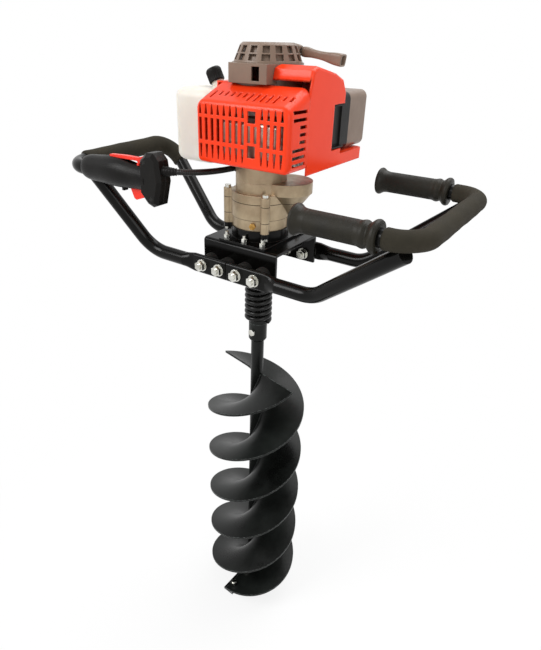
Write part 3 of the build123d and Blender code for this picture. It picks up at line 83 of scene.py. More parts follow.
# %% Camera at the photograph's place
camera_place = Vector((0.50822, -0.74158, 1.20988))
camera_right = Vector((0.81818, 0.57463, 0.01982))
camera_up = Vector((-0.28042, 0.36872, 0.88623))
camera_forward = Vector((-0.50195, 0.73065, -0.46282))
frame_height_px = 650.0
focal_length_px = 531.47
shift_px = (12.87, -9.99)
camera_data = bpy.data.cameras.new("photo_camera")
camera_data.sensor_width = 36.0
camera_data.lens = focal_length_px / frame_height_px * camera_data.sensor_width
camera_data.shift_x = shift_px[0] / frame_height_px
camera_data.shift_y = shift_px[1] / frame_height_px
camera_data.clip_start, camera_data.clip_end = 0.05, 50.0
camera = bpy.data.objects.new("photo_camera", camera_data)
turn = Matrix((camera_right, camera_up, -camera_forward)).transposed().to_4x4()
camera.matrix_world = Matrix.Translation(camera_place) @ turn
bpy.context.scene.collection.objects.link(camera)
bpy.context.scene.camera = camera
print("lens:", round(camera_data.lens, 2), "mm")

# %% [markdown]
# ## The studio
# The photograph is cut out on white, so the floor and the world are white where the camera or a reflection sees
# them, and the world is dimmer where it lights the object. A Light Path node tells the two apart. The floor stays
# partly diffuse near the object, which keeps the soft shadow under the bit, and turns wholly white further out,
# so that no line shows where floor and world meet.

# %% Small helpers for node trees
def srgb(red, green, blue):
    """A colour given as 0 to 255 screen values, as linear light: c/12.92 below 0.04, else ((c+0.055)/1.055)^2.4."""
    c = np.array((red, green, blue)) / 255.0
    linear = np.where(c <= 0.04045, c / 12.92, ((c + 0.055) / 1.055) ** 2.4)
    return (*linear.tolist(), 1.0)


def place_nodes(tree, kinds):
    """Adds nodes to a tree from a dict of name to node type, and returns them by name."""
    made = {}
    for number, (name, kind) in enumerate(kinds.items()):
        made[name] = tree.nodes.new(kind)
        made[name].location = (-1400 + 230 * (number % 7), 300 - 320 * (number // 7))
    return made


def seen_directly(tree, path):
    """A value of 1 for rays from the camera, a mirror-like surface or glass, else 0: the largest of the three."""
    first = tree.nodes.new("ShaderNodeMath")
    second = tree.nodes.new("ShaderNodeMath")
    first.operation = second.operation = "MAXIMUM"
    tree.links.new(path.outputs["Is Camera Ray"], first.inputs[0])
    tree.links.new(path.outputs["Is Glossy Ray"], first.inputs[1])
    tree.links.new(first.outputs[0], second.inputs[0])
    tree.links.new(path.outputs["Is Transmission Ray"], second.inputs[1])
    return second.outputs[0]


# %% World
pure_white = (1.0, 1.0, 1.0, 1.0)
scene = bpy.context.scene
scene.view_settings.view_transform = "Standard"
world = bpy.data.worlds.new("studio_world")
scene.world = world
world.use_nodes = True
tree = world.node_tree
tree.nodes.clear()
made = place_nodes(tree, {
    "path": "ShaderNodeLightPath",
    "lighting": "ShaderNodeBackground",
    "white": "ShaderNodeBackground",
    "mix": "ShaderNodeMixShader",
    "out": "ShaderNodeOutputWorld",
})
made["lighting"].inputs["Color"].default_value = pure_white
made["lighting"].inputs["Strength"].default_value = 0.52
made["white"].inputs["Color"].default_value = pure_white
made["white"].inputs["Strength"].default_value = 1.0
tree.links.new(seen_directly(tree, made["path"]), made["mix"].inputs["Fac"])
tree.links.new(made["lighting"].outputs[0], made["mix"].inputs[1])
tree.links.new(made["white"].outputs[0], made["mix"].inputs[2])
tree.links.new(made["mix"].outputs[0], made["out"].inputs["Surface"])
print("world:", world.name)

# %% Floor
floor_drop = 0.003
floor_half = 12.0
floor_mesh = bpy.data.meshes.new("studio_floor")
corners = [(x, y, -floor_drop) for x, y in ((-1, -1), (1, -1), (1, 1), (-1, 1))]
floor_mesh.from_pydata([(x * floor_half, y * floor_half, z) for x, y, z in corners], [], [(0, 1, 2, 3)])
floor = bpy.data.objects.new("studio_floor", floor_mesh)
scene.collection.objects.link(floor)
floor_material = bpy.data.materials.new("pale_floor")
floor_material.use_nodes = True
tree = floor_material.node_tree
tree.nodes.clear()
made = place_nodes(tree, {
    "path": "ShaderNodeLightPath",
    "place": "ShaderNodeTexCoord",
    "distance": "ShaderNodeVectorMath",
    "whiteness": "ShaderNodeMapRange",
    "share": "ShaderNodeMath",
    "matt": "ShaderNodeBsdfDiffuse",
    "white": "ShaderNodeEmission",
    "mix": "ShaderNodeMixShader",
    "out": "ShaderNodeOutputMaterial",
})
made["matt"].inputs["Color"].default_value = (0.9, 0.9, 0.9, 1.0)
made["white"].inputs["Color"].default_value = pure_white
made["white"].inputs["Strength"].default_value = 1.0
made["distance"].operation = "LENGTH"
made["whiteness"].inputs["From Min"].default_value = 0.15
made["whiteness"].inputs["From Max"].default_value = 0.8
made["whiteness"].inputs["To Min"].default_value = 0.82
made["whiteness"].inputs["To Max"].default_value = 1.0
made["share"].operation = "MULTIPLY"
tree.links.new(made["place"].outputs["Object"], made["distance"].inputs[0])
tree.links.new(made["distance"].outputs["Value"], made["whiteness"].inputs["Value"])
tree.links.new(seen_directly(tree, made["path"]), made["share"].inputs[0])
tree.links.new(made["whiteness"].outputs["Result"], made["share"].inputs[1])
tree.links.new(made["share"].outputs[0], made["mix"].inputs["Fac"])
tree.links.new(made["matt"].outputs[0], made["mix"].inputs[1])
tree.links.new(made["white"].outputs[0], made["mix"].inputs[2])
tree.links.new(made["mix"].outputs[0], made["out"].inputs["Surface"])
floor.data.materials.append(floor_material)
print("floor:", 2 * floor_half, "m wide,", floor_drop, "m under the bit")


# %% Soft lamps
def soft_lamp(name, place, aim, size, power):
    """A square area lamp at a place, turned so that its face looks at the aim point."""
    lamp_data = bpy.data.lights.new(name, "AREA")
    lamp_data.size = size
    lamp_data.energy = power
    lamp = bpy.data.objects.new(name, lamp_data)
    lamp.location = place
    lamp.rotation_euler = (Vector(aim) - Vector(place)).to_track_quat("-Z", "Y").to_euler()
    scene.collection.objects.link(lamp)
    return lamp


machine_middle = (0.0, 0.0, 0.85)
lamps = [
    soft_lamp("key_lamp", (-1.3, -2.1, 2.6), machine_middle, 1.4, 58.0),
    soft_lamp("fill_lamp", (2.4, -1.2, 1.5), machine_middle, 1.6, 20.0),
    soft_lamp("top_lamp", (0.3, 1.2, 3.0), machine_middle, 1.8, 42.0),
]
print("lamps:", [lamp.name for lamp in lamps])

# %% [markdown]
# ## Shared shader groups
# Three effects return in every finish. A surface is never one colour, so the first group drifts between two
# colours and two roughnesses with a slow noise. Real edges are rounded: the Bevel node gives the rounded normal,
# and where it turns away from the flat normal there is an edge, which takes a lighter colour that is partly wear
# and partly a painted highlight along the rounding. The last group turns a fine noise into relief. One more, for the
# gearbox alone, marks the seams where its cases meet. Each is built once, and each finish sets its own values on it.


# %% A group builder
def new_group(name, inputs, outputs):
    """A shader node group with named sockets. Inputs map a name to (socket type, first value)."""
    group = bpy.data.node_groups.new(name, "ShaderNodeTree")
    for socket, (kind, value) in inputs.items():
        made_socket = group.interface.new_socket(name=socket, in_out="INPUT", socket_type=kind)
        if value is not None:
            made_socket.default_value = value
    for socket, kind in outputs.items():
        group.interface.new_socket(name=socket, in_out="OUTPUT", socket_type=kind)
    entry = group.nodes.new("NodeGroupInput")
    entry.location = (-1700, 0)
    leave = group.nodes.new("NodeGroupOutput")
    leave.location = (600, 0)
    return group, entry, leave


number, colour, direction = "NodeSocketFloat", "NodeSocketColor", "NodeSocketVector"

# %% Drifting colour and roughness
drift, entry, leave = new_group(
    "drifting_surface",
    {
        "Position": (direction, None),
        "Colour": (colour, (0.5, 0.5, 0.5, 1.0)),
        "Second Colour": (colour, (0.4, 0.4, 0.4, 1.0)),
        "Scale": (number, 20.0),
        "Low Roughness": (number, 0.4),
        "High Roughness": (number, 0.5),
    },
    {"Colour": colour, "Roughness": number},
)
made = place_nodes(drift, {
    "noise": "ShaderNodeTexNoise",
    "spread": "ShaderNodeMapRange",
    "mix": "ShaderNodeMix",
    "rough": "ShaderNodeMapRange",
})
made["noise"].inputs["Detail"].default_value = 5.0
made["noise"].inputs["Roughness"].default_value = 0.6
made["spread"].inputs["From Min"].default_value = 0.35
made["spread"].inputs["From Max"].default_value = 0.68
made["mix"].data_type = "RGBA"
drift.links.new(entry.outputs["Position"], made["noise"].inputs["Vector"])
drift.links.new(entry.outputs["Scale"], made["noise"].inputs["Scale"])
drift.links.new(made["noise"].outputs["Fac"], made["spread"].inputs["Value"])
drift.links.new(made["spread"].outputs["Result"], made["mix"].inputs["Factor"])
drift.links.new(entry.outputs["Colour"], made["mix"].inputs["A"])
drift.links.new(entry.outputs["Second Colour"], made["mix"].inputs["B"])
drift.links.new(made["spread"].outputs["Result"], made["rough"].inputs["Value"])
drift.links.new(entry.outputs["Low Roughness"], made["rough"].inputs["To Min"])
drift.links.new(entry.outputs["High Roughness"], made["rough"].inputs["To Max"])
drift.links.new(made["mix"].outputs["Result"], leave.inputs["Colour"])
drift.links.new(made["rough"].outputs["Result"], leave.inputs["Roughness"])
print("group inputs:", [socket.name for socket in drift.interface.items_tree if socket.in_out == "INPUT"])

# %% Rounded edges, with wear and painted highlight
# Its mask lays a lighter colour on the edges, partly wear and partly a painted highlight.
edges, entry, leave = new_group(
    "rounded_edges_with_wear_and_highlight",
    {"Position": (direction, None), "Radius": (number, 0.001), "Wear And Highlight": (number, 0.5)},
    {"Normal": direction, "Mask": number},
)
made = place_nodes(edges, {
    "bevel": "ShaderNodeBevel",
    "flat": "ShaderNodeNewGeometry",
    "turned": "ShaderNodeVectorMath",
    "sharp": "ShaderNodeMapRange",
    "breaks": "ShaderNodeTexNoise",
    "broken": "ShaderNodeMapRange",
    "both": "ShaderNodeMath",
    "amount": "ShaderNodeMath",
})
made["bevel"].samples = 4
made["turned"].operation = "DOT_PRODUCT"
made["sharp"].inputs["From Min"].default_value = 0.985
made["sharp"].inputs["From Max"].default_value = 0.87
made["breaks"].inputs["Scale"].default_value = 260.0
made["broken"].inputs["From Min"].default_value = 0.42
made["broken"].inputs["From Max"].default_value = 0.6
made["both"].operation = made["amount"].operation = "MULTIPLY"
edges.links.new(entry.outputs["Radius"], made["bevel"].inputs["Radius"])
edges.links.new(made["bevel"].outputs["Normal"], made["turned"].inputs[0])
edges.links.new(made["flat"].outputs["Normal"], made["turned"].inputs[1])
edges.links.new(made["turned"].outputs["Value"], made["sharp"].inputs["Value"])
edges.links.new(entry.outputs["Position"], made["breaks"].inputs["Vector"])
edges.links.new(made["breaks"].outputs["Fac"], made["broken"].inputs["Value"])
edges.links.new(made["sharp"].outputs["Result"], made["both"].inputs[0])
edges.links.new(made["broken"].outputs["Result"], made["both"].inputs[1])
edges.links.new(made["both"].outputs[0], made["amount"].inputs[0])
edges.links.new(entry.outputs["Wear And Highlight"], made["amount"].inputs[1])
edges.links.new(made["bevel"].outputs["Normal"], leave.inputs["Normal"])
edges.links.new(made["amount"].outputs[0], leave.inputs["Mask"])
print("edge nodes:", len(edges.nodes))

# %% Dark seams at two heights
seams, entry, leave = new_group(
    "parting_seams",
    {
        "Position": (direction, None),
        "Low Seam": (number, 0.0),
        "High Seam": (number, 0.0),
        "Half Width": (number, 0.0005),
    },
    {"Mask": number},
)
made = place_nodes(seams, {
    "split": "ShaderNodeSeparateXYZ",
    "low": "ShaderNodeMath",
    "high": "ShaderNodeMath",
    "either": "ShaderNodeMath",
})
made["low"].operation = made["high"].operation = "COMPARE"
made["either"].operation = "MAXIMUM"
seams.links.new(entry.outputs["Position"], made["split"].inputs[0])
for part, socket in (("low", "Low Seam"), ("high", "High Seam")):
    seams.links.new(made["split"].outputs["Z"], made[part].inputs[0])
    seams.links.new(entry.outputs[socket], made[part].inputs[1])
    seams.links.new(entry.outputs["Half Width"], made[part].inputs[2])
seams.links.new(made["low"].outputs[0], made["either"].inputs[0])
seams.links.new(made["high"].outputs[0], made["either"].inputs[1])
seams.links.new(made["either"].outputs[0], leave.inputs["Mask"])
print("seam nodes:", len(seams.nodes))

# %% Fine relief
grain, entry, leave = new_group(
    "fine_relief",
    {
        "Position": (direction, None),
        "Scale": (number, 900.0),
        "Height": (number, 0.3),
        "Normal": (direction, None),
    },
    {"Normal": direction},
)
made = place_nodes(grain, {"noise": "ShaderNodeTexNoise", "bump": "ShaderNodeBump"})
made["noise"].inputs["Detail"].default_value = 3.0
made["bump"].inputs["Distance"].default_value = 0.0006
grain.links.new(entry.outputs["Position"], made["noise"].inputs["Vector"])
grain.links.new(entry.outputs["Scale"], made["noise"].inputs["Scale"])
grain.links.new(made["noise"].outputs["Fac"], made["bump"].inputs["Height"])
grain.links.new(entry.outputs["Height"], made["bump"].inputs["Strength"])
grain.links.new(entry.outputs["Normal"], made["bump"].inputs["Normal"])
grain.links.new(made["bump"].outputs["Normal"], leave.inputs["Normal"])
print("shader groups:", [group.name for group in bpy.data.node_groups])

# %% [markdown]
# ## The finishes
# One function lays out a finish: the drifting surface gives colour and roughness, the edge group lays its edge
# colour, part wear and part painted highlight, over it and rounds the normal, and the fine relief goes on top. What
# is the same all over a surface, such as its gloss level or clear coat, is set on the shader's own socket.


# %% A finish from the shared groups
def finish(name, colour_a, colour_b, rough, scale=18.0, metallic=0.0, relief=(900.0, 0.15), edge=0.0009,
           wear_and_highlight_colour=None, wear_and_highlight=0.0, specular=0.5, coat=0.0):
    """A Principled material fed by the three groups. rough is (low, high); relief is (scale, strength); edge is the
    radius in metres to which edges are rounded; the two edge arguments after it give the edge colour, part wear and
    part painted highlight, and how far edges take it on."""
    material = bpy.data.materials.new(name)
    material.use_nodes = True
    tree = material.node_tree
    tree.nodes.clear()
    made = place_nodes(tree, {
        "place": "ShaderNodeTexCoord",
        "drift": "ShaderNodeGroup",
        "edges": "ShaderNodeGroup",
        "relief": "ShaderNodeGroup",
        "edge_wear_and_highlight": "ShaderNodeMix",
        "shader": "ShaderNodeBsdfPrincipled",
        "out": "ShaderNodeOutputMaterial",
    })
    made["drift"].node_tree, made["edges"].node_tree, made["relief"].node_tree = drift, edges, grain
    made["drift"].inputs["Colour"].default_value = colour_a
    made["drift"].inputs["Second Colour"].default_value = colour_b
    made["drift"].inputs["Scale"].default_value = scale
    made["drift"].inputs["Low Roughness"].default_value = rough[0]
    made["drift"].inputs["High Roughness"].default_value = rough[1]
    made["edges"].inputs["Radius"].default_value = edge
    made["edges"].inputs["Wear And Highlight"].default_value = wear_and_highlight
    made["relief"].inputs["Scale"].default_value = relief[0]
    made["relief"].inputs["Height"].default_value = relief[1]
    made["edge_wear_and_highlight"].data_type = "RGBA"
    # The edge colour: partly wear, partly a painted highlight.
    made["edge_wear_and_highlight"].inputs["B"].default_value = wear_and_highlight_colour or colour_b
    shader = made["shader"]
    shader.inputs["Metallic"].default_value = metallic
    shader.inputs["Specular IOR Level"].default_value = specular
    shader.inputs["Coat Weight"].default_value = coat
    shader.inputs["Coat Roughness"].default_value = 0.1
    for target in ("drift", "edges", "relief"):
        tree.links.new(made["place"].outputs["Object"], made[target].inputs["Position"])
    tree.links.new(made["drift"].outputs["Colour"], made["edge_wear_and_highlight"].inputs["A"])
    tree.links.new(made["edges"].outputs["Mask"], made["edge_wear_and_highlight"].inputs["Factor"])
    tree.links.new(made["edge_wear_and_highlight"].outputs["Result"], shader.inputs["Base Color"])
    tree.links.new(made["drift"].outputs["Roughness"], shader.inputs["Roughness"])
    tree.links.new(made["edges"].outputs["Normal"], made["relief"].inputs["Normal"])
    tree.links.new(made["relief"].outputs["Normal"], shader.inputs["Normal"])
    tree.links.new(shader.outputs[0], made["out"].inputs["Surface"])
    return material


# %% Painted steel
finishes = {}
# The bit's light grey edge colour is partly paint worn from the edges and partly a painted highlight along them.
finishes["bit_black"] = finish(
    "bit_black_paint", srgb(11, 12, 11), srgb(29, 32, 30), (0.26, 0.4), scale=11.0, relief=(420.0, 0.1),
    edge=0.0015, wear_and_highlight_colour=srgb(120, 126, 124), wear_and_highlight=0.9, specular=0.17)
finishes["frame_black"] = finish(
    "frame_black_gloss", srgb(6, 6, 5), srgb(12, 11, 10), (0.15, 0.24), scale=9.0, relief=(300.0, 0.05),
    edge=0.0014, wear_and_highlight_colour=srgb(92, 90, 86), wear_and_highlight=0.3, specular=0.14)
finishes["spring_black"] = finish(
    "spring_black_paint", srgb(9, 9, 8), srgb(18, 18, 16), (0.24, 0.36), relief=(700.0, 0.08), specular=0.24)
print("finishes so far:", len(finishes))

# %% Bare and plated metals
finishes["blade_steel"] = finish(
    "hardened_blade_steel", srgb(96, 98, 98), srgb(58, 62, 62), (0.3, 0.48), scale=60.0, metallic=1.0,
    relief=(500.0, 0.2), wear_and_highlight_colour=srgb(206, 208, 206), wear_and_highlight=1.0)
finishes["zinc_steel"] = finish(
    "bright_zinc", srgb(226, 226, 220), srgb(178, 176, 166), (0.14, 0.28), scale=90.0, metallic=1.0,
    relief=(1400.0, 0.08), edge=0.0006, wear_and_highlight_colour=srgb(250, 250, 246), wear_and_highlight=0.5)
finishes["ground_steel"] = finish(
    "ground_steel", srgb(186, 188, 188), srgb(158, 158, 156), (0.14, 0.26), scale=70.0, metallic=1.0,
    relief=(1500.0, 0.1), wear_and_highlight_colour=srgb(230, 230, 228), wear_and_highlight=0.4)
finishes["cast_case"] = finish(
    "sand_cast_alloy", srgb(178, 160, 132), srgb(150, 132, 106), (0.34, 0.5), scale=28.0, metallic=0.75,
    relief=(560.0, 0.34), edge=0.0012, wear_and_highlight_colour=srgb(218, 206, 182), wear_and_highlight=0.45)
finishes["cast_aluminium"] = finish(
    "die_cast_aluminium", srgb(196, 194, 188), srgb(164, 160, 152), (0.34, 0.5), scale=40.0, metallic=0.9,
    relief=(800.0, 0.25), wear_and_highlight_colour=srgb(226, 224, 218), wear_and_highlight=0.4)
finishes["muffler_steel"] = finish(
    "heat_tinted_steel", srgb(190, 172, 158), srgb(140, 116, 102), (0.26, 0.46), scale=36.0, metallic=0.85,
    relief=(420.0, 0.15), wear_and_highlight_colour=srgb(220, 210, 198), wear_and_highlight=0.3)
finishes["brass"] = finish(
    "brass", srgb(196, 154, 86), srgb(150, 112, 58), (0.22, 0.36), scale=120.0, metallic=1.0,
    relief=(1200.0, 0.1), edge=0.0005, wear_and_highlight_colour=srgb(240, 210, 140), wear_and_highlight=0.4)
finishes["dark_screw"] = finish(
    "blackened_screw", srgb(16, 16, 16), srgb(34, 33, 30), (0.3, 0.46), scale=140.0, metallic=0.6,
    relief=(1200.0, 0.1), edge=0.0004, wear_and_highlight_colour=srgb(120, 118, 112), wear_and_highlight=0.5)
print("finishes so far:", len(finishes))

# %% [markdown]
# The cast cases meet at two heights, which are the tops of the lower and the middle case in the frame. The seams
# group darkens the casting within half a millimetre of them.

# %% Seams of the gearbox
case_seams = {"Low Seam": read_off("lower_case")[1][2], "High Seam": read_off("middle_case")[1][2]}
case_tree = finishes["cast_case"].node_tree
case_nodes = {node.type: node for node in case_tree.nodes if node.type in ("TEX_COORD", "MIX", "BSDF_PRINCIPLED")}
made = place_nodes(case_tree, {"seams": "ShaderNodeGroup", "dark": "ShaderNodeMix"})
made["seams"].node_tree = seams
for socket, height in case_seams.items():
    made["seams"].inputs[socket].default_value = height
made["seams"].inputs["Half Width"].default_value = 0.00055
made["dark"].data_type = "RGBA"
made["dark"].inputs["B"].default_value = srgb(58, 48, 38)
case_tree.links.new(case_nodes["TEX_COORD"].outputs["Object"], made["seams"].inputs["Position"])
case_tree.links.new(made["seams"].outputs["Mask"], made["dark"].inputs["Factor"])
case_tree.links.new(case_nodes["MIX"].outputs["Result"], made["dark"].inputs["A"])
case_tree.links.new(made["dark"].outputs["Result"], case_nodes["BSDF_PRINCIPLED"].inputs["Base Color"])
print("case seams in metres:", {socket: float(height) for socket, height in case_seams.items()})

# %% Moulded plastics
# The red covers' pale pink edge colour is a painted highlight along their rounded edges.
finishes["red_cover"] = finish(
    "red_orange_plastic", srgb(244, 62, 24), srgb(236, 56, 20), (0.2, 0.3), scale=6.0, relief=(700.0, 0.02),
    edge=0.0024, wear_and_highlight_colour=srgb(255, 128, 92), wear_and_highlight=0.3, specular=0.2)
finishes["control_red"] = finish(
    "control_red_plastic", srgb(240, 46, 24), srgb(222, 36, 18), (0.28, 0.4), relief=(1100.0, 0.1),
    edge=0.0012, wear_and_highlight_colour=srgb(250, 110, 84), wear_and_highlight=0.3, specular=0.35)
finishes["black_plastic"] = finish(
    "textured_black_plastic", srgb(9, 8, 7), srgb(18, 16, 14), (0.3, 0.44), scale=24.0, relief=(1500.0, 0.2),
    edge=0.0018, wear_and_highlight_colour=srgb(46, 44, 40), wear_and_highlight=0.35, specular=0.13)
finishes["grey_plastic"] = finish(
    "warm_grey_plastic", srgb(130, 110, 95), srgb(114, 95, 81), (0.3, 0.44), scale=14.0, relief=(1300.0, 0.16),
    edge=0.0012, wear_and_highlight_colour=srgb(176, 158, 140), wear_and_highlight=0.4, specular=0.34)
finishes["reel_plastic"] = finish(
    "reel_nylon", srgb(70, 68, 64), srgb(54, 52, 50), (0.4, 0.5), relief=(1300.0, 0.12))
finishes["plug_ceramic"] = finish(
    "glazed_ceramic", srgb(236, 232, 224), srgb(214, 208, 198), (0.12, 0.2), relief=(900.0, 0.04), coat=0.5)
finishes["tank_white"] = finish(
    "translucent_tank_plastic", srgb(242, 234, 222), srgb(228, 217, 202), (0.32, 0.42), scale=7.0,
    relief=(800.0, 0.06), edge=0.002, wear_and_highlight_colour=srgb(248, 244, 236), wear_and_highlight=0.2)
tank_shader = next(n for n in finishes["tank_white"].node_tree.nodes if n.type == "BSDF_PRINCIPLED")
tank_shader.inputs["Subsurface Weight"].default_value = 0.35
tank_shader.inputs["Subsurface Radius"].default_value = (0.012, 0.009, 0.006)
tank_shader.inputs["Subsurface Scale"].default_value = 1.0
print("finishes so far:", len(finishes))

# %% Rubber, foam and cord
finishes["buffer_rubber"] = finish(
    "buffer_rubber", srgb(26, 25, 24), srgb(42, 41, 38), (0.6, 0.78), scale=30.0, relief=(900.0, 0.3), specular=0.2)
finishes["grip_rubber"] = finish(
    "grip_rubber", srgb(26, 24, 18), srgb(38, 35, 27), (0.4, 0.55), scale=26.0, relief=(1200.0, 0.15), specular=0.2)
finishes["foam"] = finish(
    "closed_cell_foam", srgb(44, 41, 33), srgb(55, 51, 42), (0.8, 0.92), scale=22.0, relief=(1700.0, 0.75),
    specular=0.16)
finishes["conduit_black"] = finish(
    "conduit_nylon", srgb(12, 12, 11), srgb(24, 23, 21), (0.3, 0.42), relief=(900.0, 0.08), specular=0.3)
finishes["rope"] = finish(
    "starter_cord_nylon", srgb(150, 144, 132), srgb(110, 104, 92), (0.7, 0.85), scale=160.0, relief=(2400.0, 0.5))
print("finishes:", len(finishes))

# %% [markdown]
# ## Dressing the CAD nodes
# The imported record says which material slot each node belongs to. Each node's object gets that slot's finish in
# place of its plain CAD material. The mesh itself stays as it is.

# %% Finish for every node
slot_of_node = {part["node"]: part["material_slot"] for part in frame["record"]["subparts"]}
for node_name, node in nodes.items():
    node.data.materials.clear()
    node.data.materials.append(finishes[slot_of_node[node_name]])
print("dressed nodes:", len(slot_of_node))

# %% [markdown]
# ## Surfaces from grids
# Every new piece is a tube-like skin: rings of points, one after another along a line. Given the points of all
# rings as one array, the faces follow from counting alone, so one helper turns any such grid into a mesh.


# %% A mesh from rings of points
def skin(name, rings, slot):
    """rings has the shape (rings, sides, 3). Neighbouring rings are joined by quads that wrap round, and each end
    is closed by one face."""
    ring_count, sides = rings.shape[:2]
    ring, side = np.meshgrid(np.arange(ring_count - 1), np.arange(sides), indexing="ij")
    after = (side + 1) % sides
    quads = np.stack([
        ring * sides + side,
        ring * sides + after,
        (ring + 1) * sides + after,
        (ring + 1) * sides + side,
    ], axis=-1).reshape(-1, 4)
    faces = quads.tolist()
    faces.append(list(range(sides))[::-1])
    faces.append([(ring_count - 1) * sides + k for k in range(sides)])
    mesh = bpy.data.meshes.new(name)
    mesh.from_pydata(rings.reshape(-1, 3).tolist(), [], faces)
    mesh.shade_smooth()
    mesh.validate()
    piece = bpy.data.objects.new(name, mesh)
    scene.collection.objects.link(piece)
    mesh.materials.append(finishes[slot])
    return piece


# %% Rings along a line, and rings about an axis
def frames_along(path):
    """A tangent, a side and a third direction at each point. The side is carried along from point to point by
    taking out its share along the next tangent, so that the tube doesn't twist."""
    tangent = np.gradient(path, axis=0)
    tangent /= np.linalg.norm(tangent, axis=1, keepdims=True)
    start = np.cross(tangent[0], (0.0, 0.0, 1.0) if abs(tangent[0][2]) < 0.9 else (1.0, 0.0, 0.0))
    sides = [start / np.linalg.norm(start)]
    for step in tangent[1:]:
        carried = sides[-1] - step * (sides[-1] @ step)
        sides.append(carried / np.linalg.norm(carried))
    across = np.array(sides)
    return tangent, across, np.cross(tangent, across)


def tube_rings(path, radius, sides=24):
    """Circles round each path point: the point plus radius times (cos a * side + sin a * third direction).
    radius is one number, one per point, or one per point and angle."""
    angle = np.linspace(0.0, 2 * np.pi, sides, endpoint=False)
    _, across, third = frames_along(path)
    radius = np.broadcast_to(np.asarray(radius, dtype=float).reshape(-1, 1) if np.ndim(radius) < 2 else radius,
                             (len(path), sides))
    around = np.cos(angle)[None, :, None] * across[:, None, :] + np.sin(angle)[None, :, None] * third[:, None, :]
    return path[:, None, :] + radius[..., None] * around


def resample(path, spacing):
    """The same line with points a set distance apart, read off by its length so far."""
    steps = np.linalg.norm(np.diff(path, axis=0), axis=1)
    so_far = np.concatenate([[0.0], np.cumsum(steps)])
    count = max(int(round(so_far[-1] / spacing)), 2)
    wanted = np.linspace(0.0, so_far[-1], count + 1)
    return np.stack([np.interp(wanted, so_far, path[:, k]) for k in range(3)], axis=1), wanted


# %% [markdown]
# ## The throttle conduit
# A Bowden cable runs in a ribbed nylon sleeve from the throttle grip, round the neck of the gearbox and up to the
# carburettor. Its line is a NURBS spline along the route of the CAD model, and the sleeve is a tube whose radius
# swells and falls once for every rib. A short boot with a few grooves holds it where it leaves the grip.


# %% A line read from a NURBS spline
def spline_points(name, route):
    """The points of a NURBS curve of order 3 whose control points are the route, in metres."""
    curve = bpy.data.curves.new(name, "CURVE")
    curve.dimensions = "3D"
    spline = curve.splines.new("NURBS")
    spline.points.add(len(route) - 1)
    for point, place in zip(spline.points, route):
        point.co = (*place, 1.0)
    spline.order_u = 3
    spline.use_endpoint_u = True
    curve.resolution_u = 32
    helper = bpy.data.objects.new(name, curve)
    scene.collection.objects.link(helper)
    bpy.context.view_layer.update()
    line = bpy.data.meshes.new_from_object(helper)
    points = np.empty(len(line.vertices) * 3)
    line.vertices.foreach_get("co", points)
    bpy.data.objects.remove(helper)
    bpy.data.meshes.remove(line)
    return points.reshape(-1, 3)


# %% Ribbed sleeve on its route
conduit_route = [
    (-0.090, -0.140, 1.023),
    (-0.046, -0.141, 1.026),
    (-0.052, -0.045, 1.012),
    (-0.050, 0.050, 1.010),
    (0.002, 0.050, 1.012),
    (0.052, 0.046, 1.061),
]
conduit_radius = 0.005
rib_pitch = 0.0032
conduit_line, conduit_so_far = resample(spline_points("conduit_line", conduit_route), rib_pitch / 6)
rib_share = 0.16
rib_wave = 0.5 + 0.5 * np.cos(2 * np.pi * conduit_so_far / rib_pitch)
rib_height = conduit_radius * (1 - rib_share + rib_share * np.clip(rib_wave * 1.6 - 0.3, 0.0, 1.0))
conduit = skin("ribbed_throttle_conduit", tube_rings(conduit_line, rib_height, sides=20), "conduit_black")
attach(conduit, "frame")
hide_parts("throttle_conduit")
print("conduit length:", round(float(conduit_so_far[-1]), 4))

# %% Rubber boot where the conduit leaves the grip
boot_length, boot_radius, boot_taper = 0.026, 0.0084, 0.0028
boot_grooves, groove_depth = 6, 0.0007
boot_points = int(np.searchsorted(conduit_so_far, boot_length))
boot_share = conduit_so_far[:boot_points] / boot_length
in_groove = np.sin(2 * np.pi * boot_share * boot_grooves) > 0.3
boot_radii = boot_radius - boot_taper * boot_share - groove_depth * in_groove
boot = skin("conduit_boot", tube_rings(conduit_line[:boot_points], boot_radii, sides=24), "black_plastic")
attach(boot, "frame")
print("boot rings:", boot_points)

# %% [markdown]
# ## Foam and rubber on the handles
# Soft foam covers the right bar and its two elbows, and the left bar. Each sleeve is a tube along straight runs
# and arcs, a little uneven, with ends that round over onto the steel. The rubber grips are turned shapes: a
# flange at each end, a groove near the outer one, and a crossed knurl cut into the barrel.


# %% Runs joined by arcs
def rounded_line(corners, radius, spacing=0.002):
    """The polyline through the corners with each inner corner replaced by an arc. The arc touches both runs at
    radius * tan(half the turn) from the corner, and its centre lies along the inner bisector."""
    corners = np.array(corners, dtype=float)
    pieces = [corners[:1]]
    for before, corner, after in zip(corners, corners[1:], corners[2:]):
        run_in = (corner - before) / np.linalg.norm(corner - before)
        run_out = (after - corner) / np.linalg.norm(after - corner)
        turn_angle = np.arccos(np.clip(run_in @ run_out, -1.0, 1.0))
        reach = radius * np.tan(turn_angle / 2)
        inward = (run_out - run_in) / np.linalg.norm(run_out - run_in)
        centre = corner + inward * radius / np.cos(turn_angle / 2)
        spoke = corner - run_in * reach - centre
        angle = np.linspace(0.0, turn_angle, 24)[:, None]
        pieces.append(centre + spoke * np.cos(angle) + run_in * radius * np.sin(angle))
    pieces.append(corners[-1:])
    return resample(np.concatenate(pieces), spacing)


